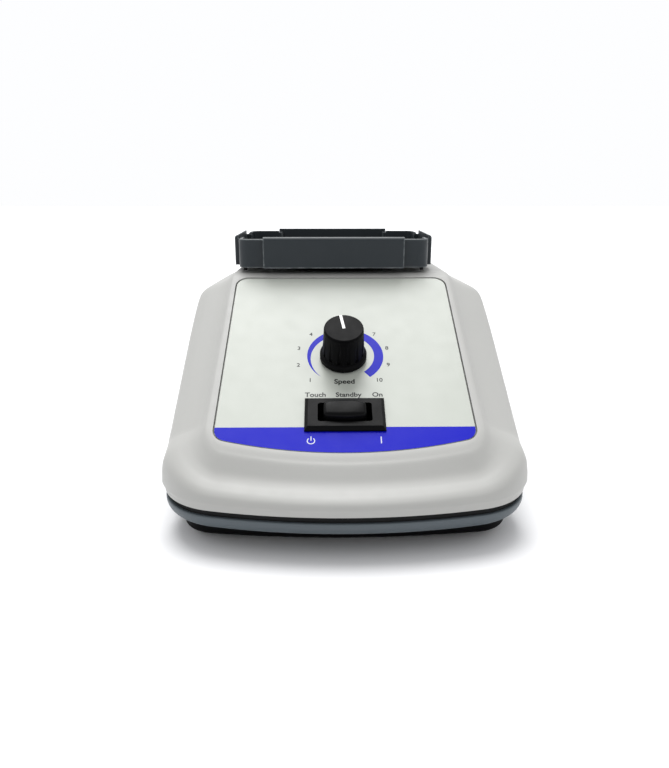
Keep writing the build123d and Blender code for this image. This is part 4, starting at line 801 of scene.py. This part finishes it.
def make_upper_case():
    """The off-white shell: sections all round from the seam to the flat, closed across by level rows."""
    outline = half_plan(counts=CASE_COUNTS, **CASE_PLAN)
    block = [p for p, _ in half_plan(counts=BLOCK_COUNTS, **BLOCK_PLAN)]
    sections = [case_section(p, inward, block) for p, inward in outline]
    bm = bmesh.new()
    right = [[bm.verts.new(p) for p in section] for section in sections]
    left = [[bm.verts.new((-p.x, p.y, p.z)) for p in section] for section in sections[1:-1]]
    left = [right[0]] + left + [right[-1]]
    for side, flip in ((right, False), (left, True)):
        for a, b in zip(side, side[1:]):
            for k in range(len(a) - 1):
                ring = (a[k], b[k], b[k + 1], a[k + 1])
                bm.faces.new(ring[::-1] if flip else ring)
    last = len(right) - 1
    bm.faces.new((right[0][-1], right[1][-1], left[1][-1]))
    for i in range(1, last - 1):
        bm.faces.new((right[i][-1], right[i + 1][-1], left[i + 1][-1], left[i][-1]))
    bm.faces.new((right[last - 1][-1], right[last][-1], left[last - 1][-1]))
    case = finish_mesh("upper_case", bm)
    wall = case.modifiers.new("wall", "SOLIDIFY")
    wall.thickness = WALL
    wall.offset = -1
    wall.use_even_offset = False
    bake_modifiers(case)
    middles = [Vector((x * MM, y * MM)) for x, y in CASE_SCREWS]
    towers = [(middle, ceiling_over(case, middle) + WALL / 4) for middle in middles]
    boolean(case, lambda bm: add_inside(bm, towers), "UNION")
    for cut in (cut_recess, cut_groove, cut_pocket, cut_holes):
        boolean(case, cut, "DIFFERENCE")
    for polygon in case.data.polygons:
        polygon.use_smooth = True
    case.data.set_sharp_from_angle(angle=math.radians(35))
    case.modifiers.new("even_shading", "WEIGHTED_NORMAL").keep_sharp = True
    case.data.materials.clear()
    case.data.materials.append(MATERIALS["case_white"])
    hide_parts("top_shell")
    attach(case, "housing")


make_upper_case()


# ---------------------------------------------------------------- rocker
ROCKER_HALF = 12.2 * MM      # half length
ROCKER_ACROSS = 6.5 * MM     # half width
ROCKER_CREST = 6.8 * MM      # top of the dome over the panel
ROCKER_MIDDLE = 1.0 * MM     # the section's middle over the panel
ROCKER_BELOW = 3.5 * MM      # the section reaches this far under its middle
ROCKER_SHIFT = 0.3 * MM      # the rocker sits this far up the slope from the window's middle
ROCKER_END = 0.88            # the rounded ends start at this share of the half length
ROCKER_END_SIZE = 0.72       # size of the section at the very end
ROCKER_BOW = 0.26            # share of the width lost at the ends
ROCKER_DOME = 0.2            # share of the height lost at the ends
ROCKER_STATIONS = 36
ROCKER_AROUND = 44


def rounded(value, power):
    """A cosine or sine drawn out towards a square."""
    return math.copysign(abs(value) ** power, value)


def make_rocker():
    """Soft-edged bar: a squarish section, domed and bowed along its length, with rounded ends."""
    place = panel_matrix(0, SWITCH_DOWN - ROCKER_SHIFT, RIM_LIFT)
    bm = bmesh.new()
    rings = []
    for i in range(ROCKER_STATIONS + 1):
        u = math.cos(math.pi * (1 - i / ROCKER_STATIONS))
        past = max(0.0, (abs(u) - ROCKER_END) / (1 - ROCKER_END))
        end = ROCKER_END_SIZE + (1 - ROCKER_END_SIZE) * math.sqrt(1 - past ** 2)
        bow = 1 - ROCKER_BOW * u ** 2
        dome = 1 - ROCKER_DOME * abs(u) ** 2.4
        ring = []
        for k in range(ROCKER_AROUND):
            a = 2 * math.pi * k / ROCKER_AROUND
            across = rounded(math.cos(a), 0.3) * ROCKER_ACROSS * bow * end
            up = rounded(math.sin(a), 0.5)
            reach = (ROCKER_CREST - ROCKER_MIDDLE) * dome * end if up > 0 else ROCKER_BELOW * end
            spot = Vector((u * ROCKER_HALF, across, ROCKER_MIDDLE + up * reach))
            ring.append(bm.verts.new(place @ spot))
        rings.append(ring)
    for a, b in zip(rings, rings[1:]):
        walls(bm, a, b)
    bm.faces.new(rings[0])
    bm.faces.new(rings[-1])
    rocker = finish_mesh("rocker_cap", bm)
    rocker.data.set_sharp_from_angle(angle=math.radians(60))
    rocker.data.materials.append(MATERIALS["switch_black"])
    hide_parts("switch_rocker")
    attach(rocker, "rocker")


make_rocker()


# ---------------------------------------------------------------- floor and light
def make_floor():
    """A wide sheet of pale paper."""
    bm = bmesh.new()
    bmesh.ops.create_grid(bm, x_segments=4, y_segments=4, size=6.0)
    floor = finish_mesh("floor", bm, smooth=False)
    s = Surface("floor_paper", (0.86, 0.86, 0.87), 0.8)
    s.uneven(60 * MM, 0.75, 0.85)
    floor.data.materials.append(s.done())


def soft_sun(name, way, strength, spread):
    """A broad even light that falls along way, its softness given in degrees."""
    lamp = bpy.data.lights.new(name, "SUN")
    lamp.energy = strength
    lamp.angle = math.radians(spread)
    light = bpy.data.objects.new(name, lamp)
    light.rotation_euler = Vector(way).to_track_quat("-Z", "Y").to_euler()
    bpy.context.scene.collection.objects.link(light)


def make_backdrop():
    """White all round, dimmer on the side towards the photographer."""
    world = bpy.data.worlds.new("studio")
    world.use_nodes = True
    nodes, links = world.node_tree.nodes, world.node_tree.links
    backdrop = nodes["Background"]
    backdrop.inputs["Color"].default_value = (0.985, 0.99, 1.0, 1.0)
    toward = nodes.new("ShaderNodeTexCoord")
    parts = nodes.new("ShaderNodeSeparateXYZ")
    dimming = nodes.new("ShaderNodeMapRange")
    for name, value in (("From Min", -0.9), ("From Max", 0.3), ("To Min", 0.6), ("To Max", 1.0)):
        dimming.inputs[name].default_value = value
    links.new(toward.outputs["Generated"], parts.inputs[0])
    links.new(parts.outputs["Y"], dimming.inputs["Value"])
    links.new(dimming.outputs[0], backdrop.inputs["Strength"])
    bpy.context.scene.world = world


make_floor()
make_backdrop()
soft_sun("overhead", (0.08, -0.40, -1.0), 2.6, 40)
bpy.context.scene.view_settings.view_transform = "Standard"
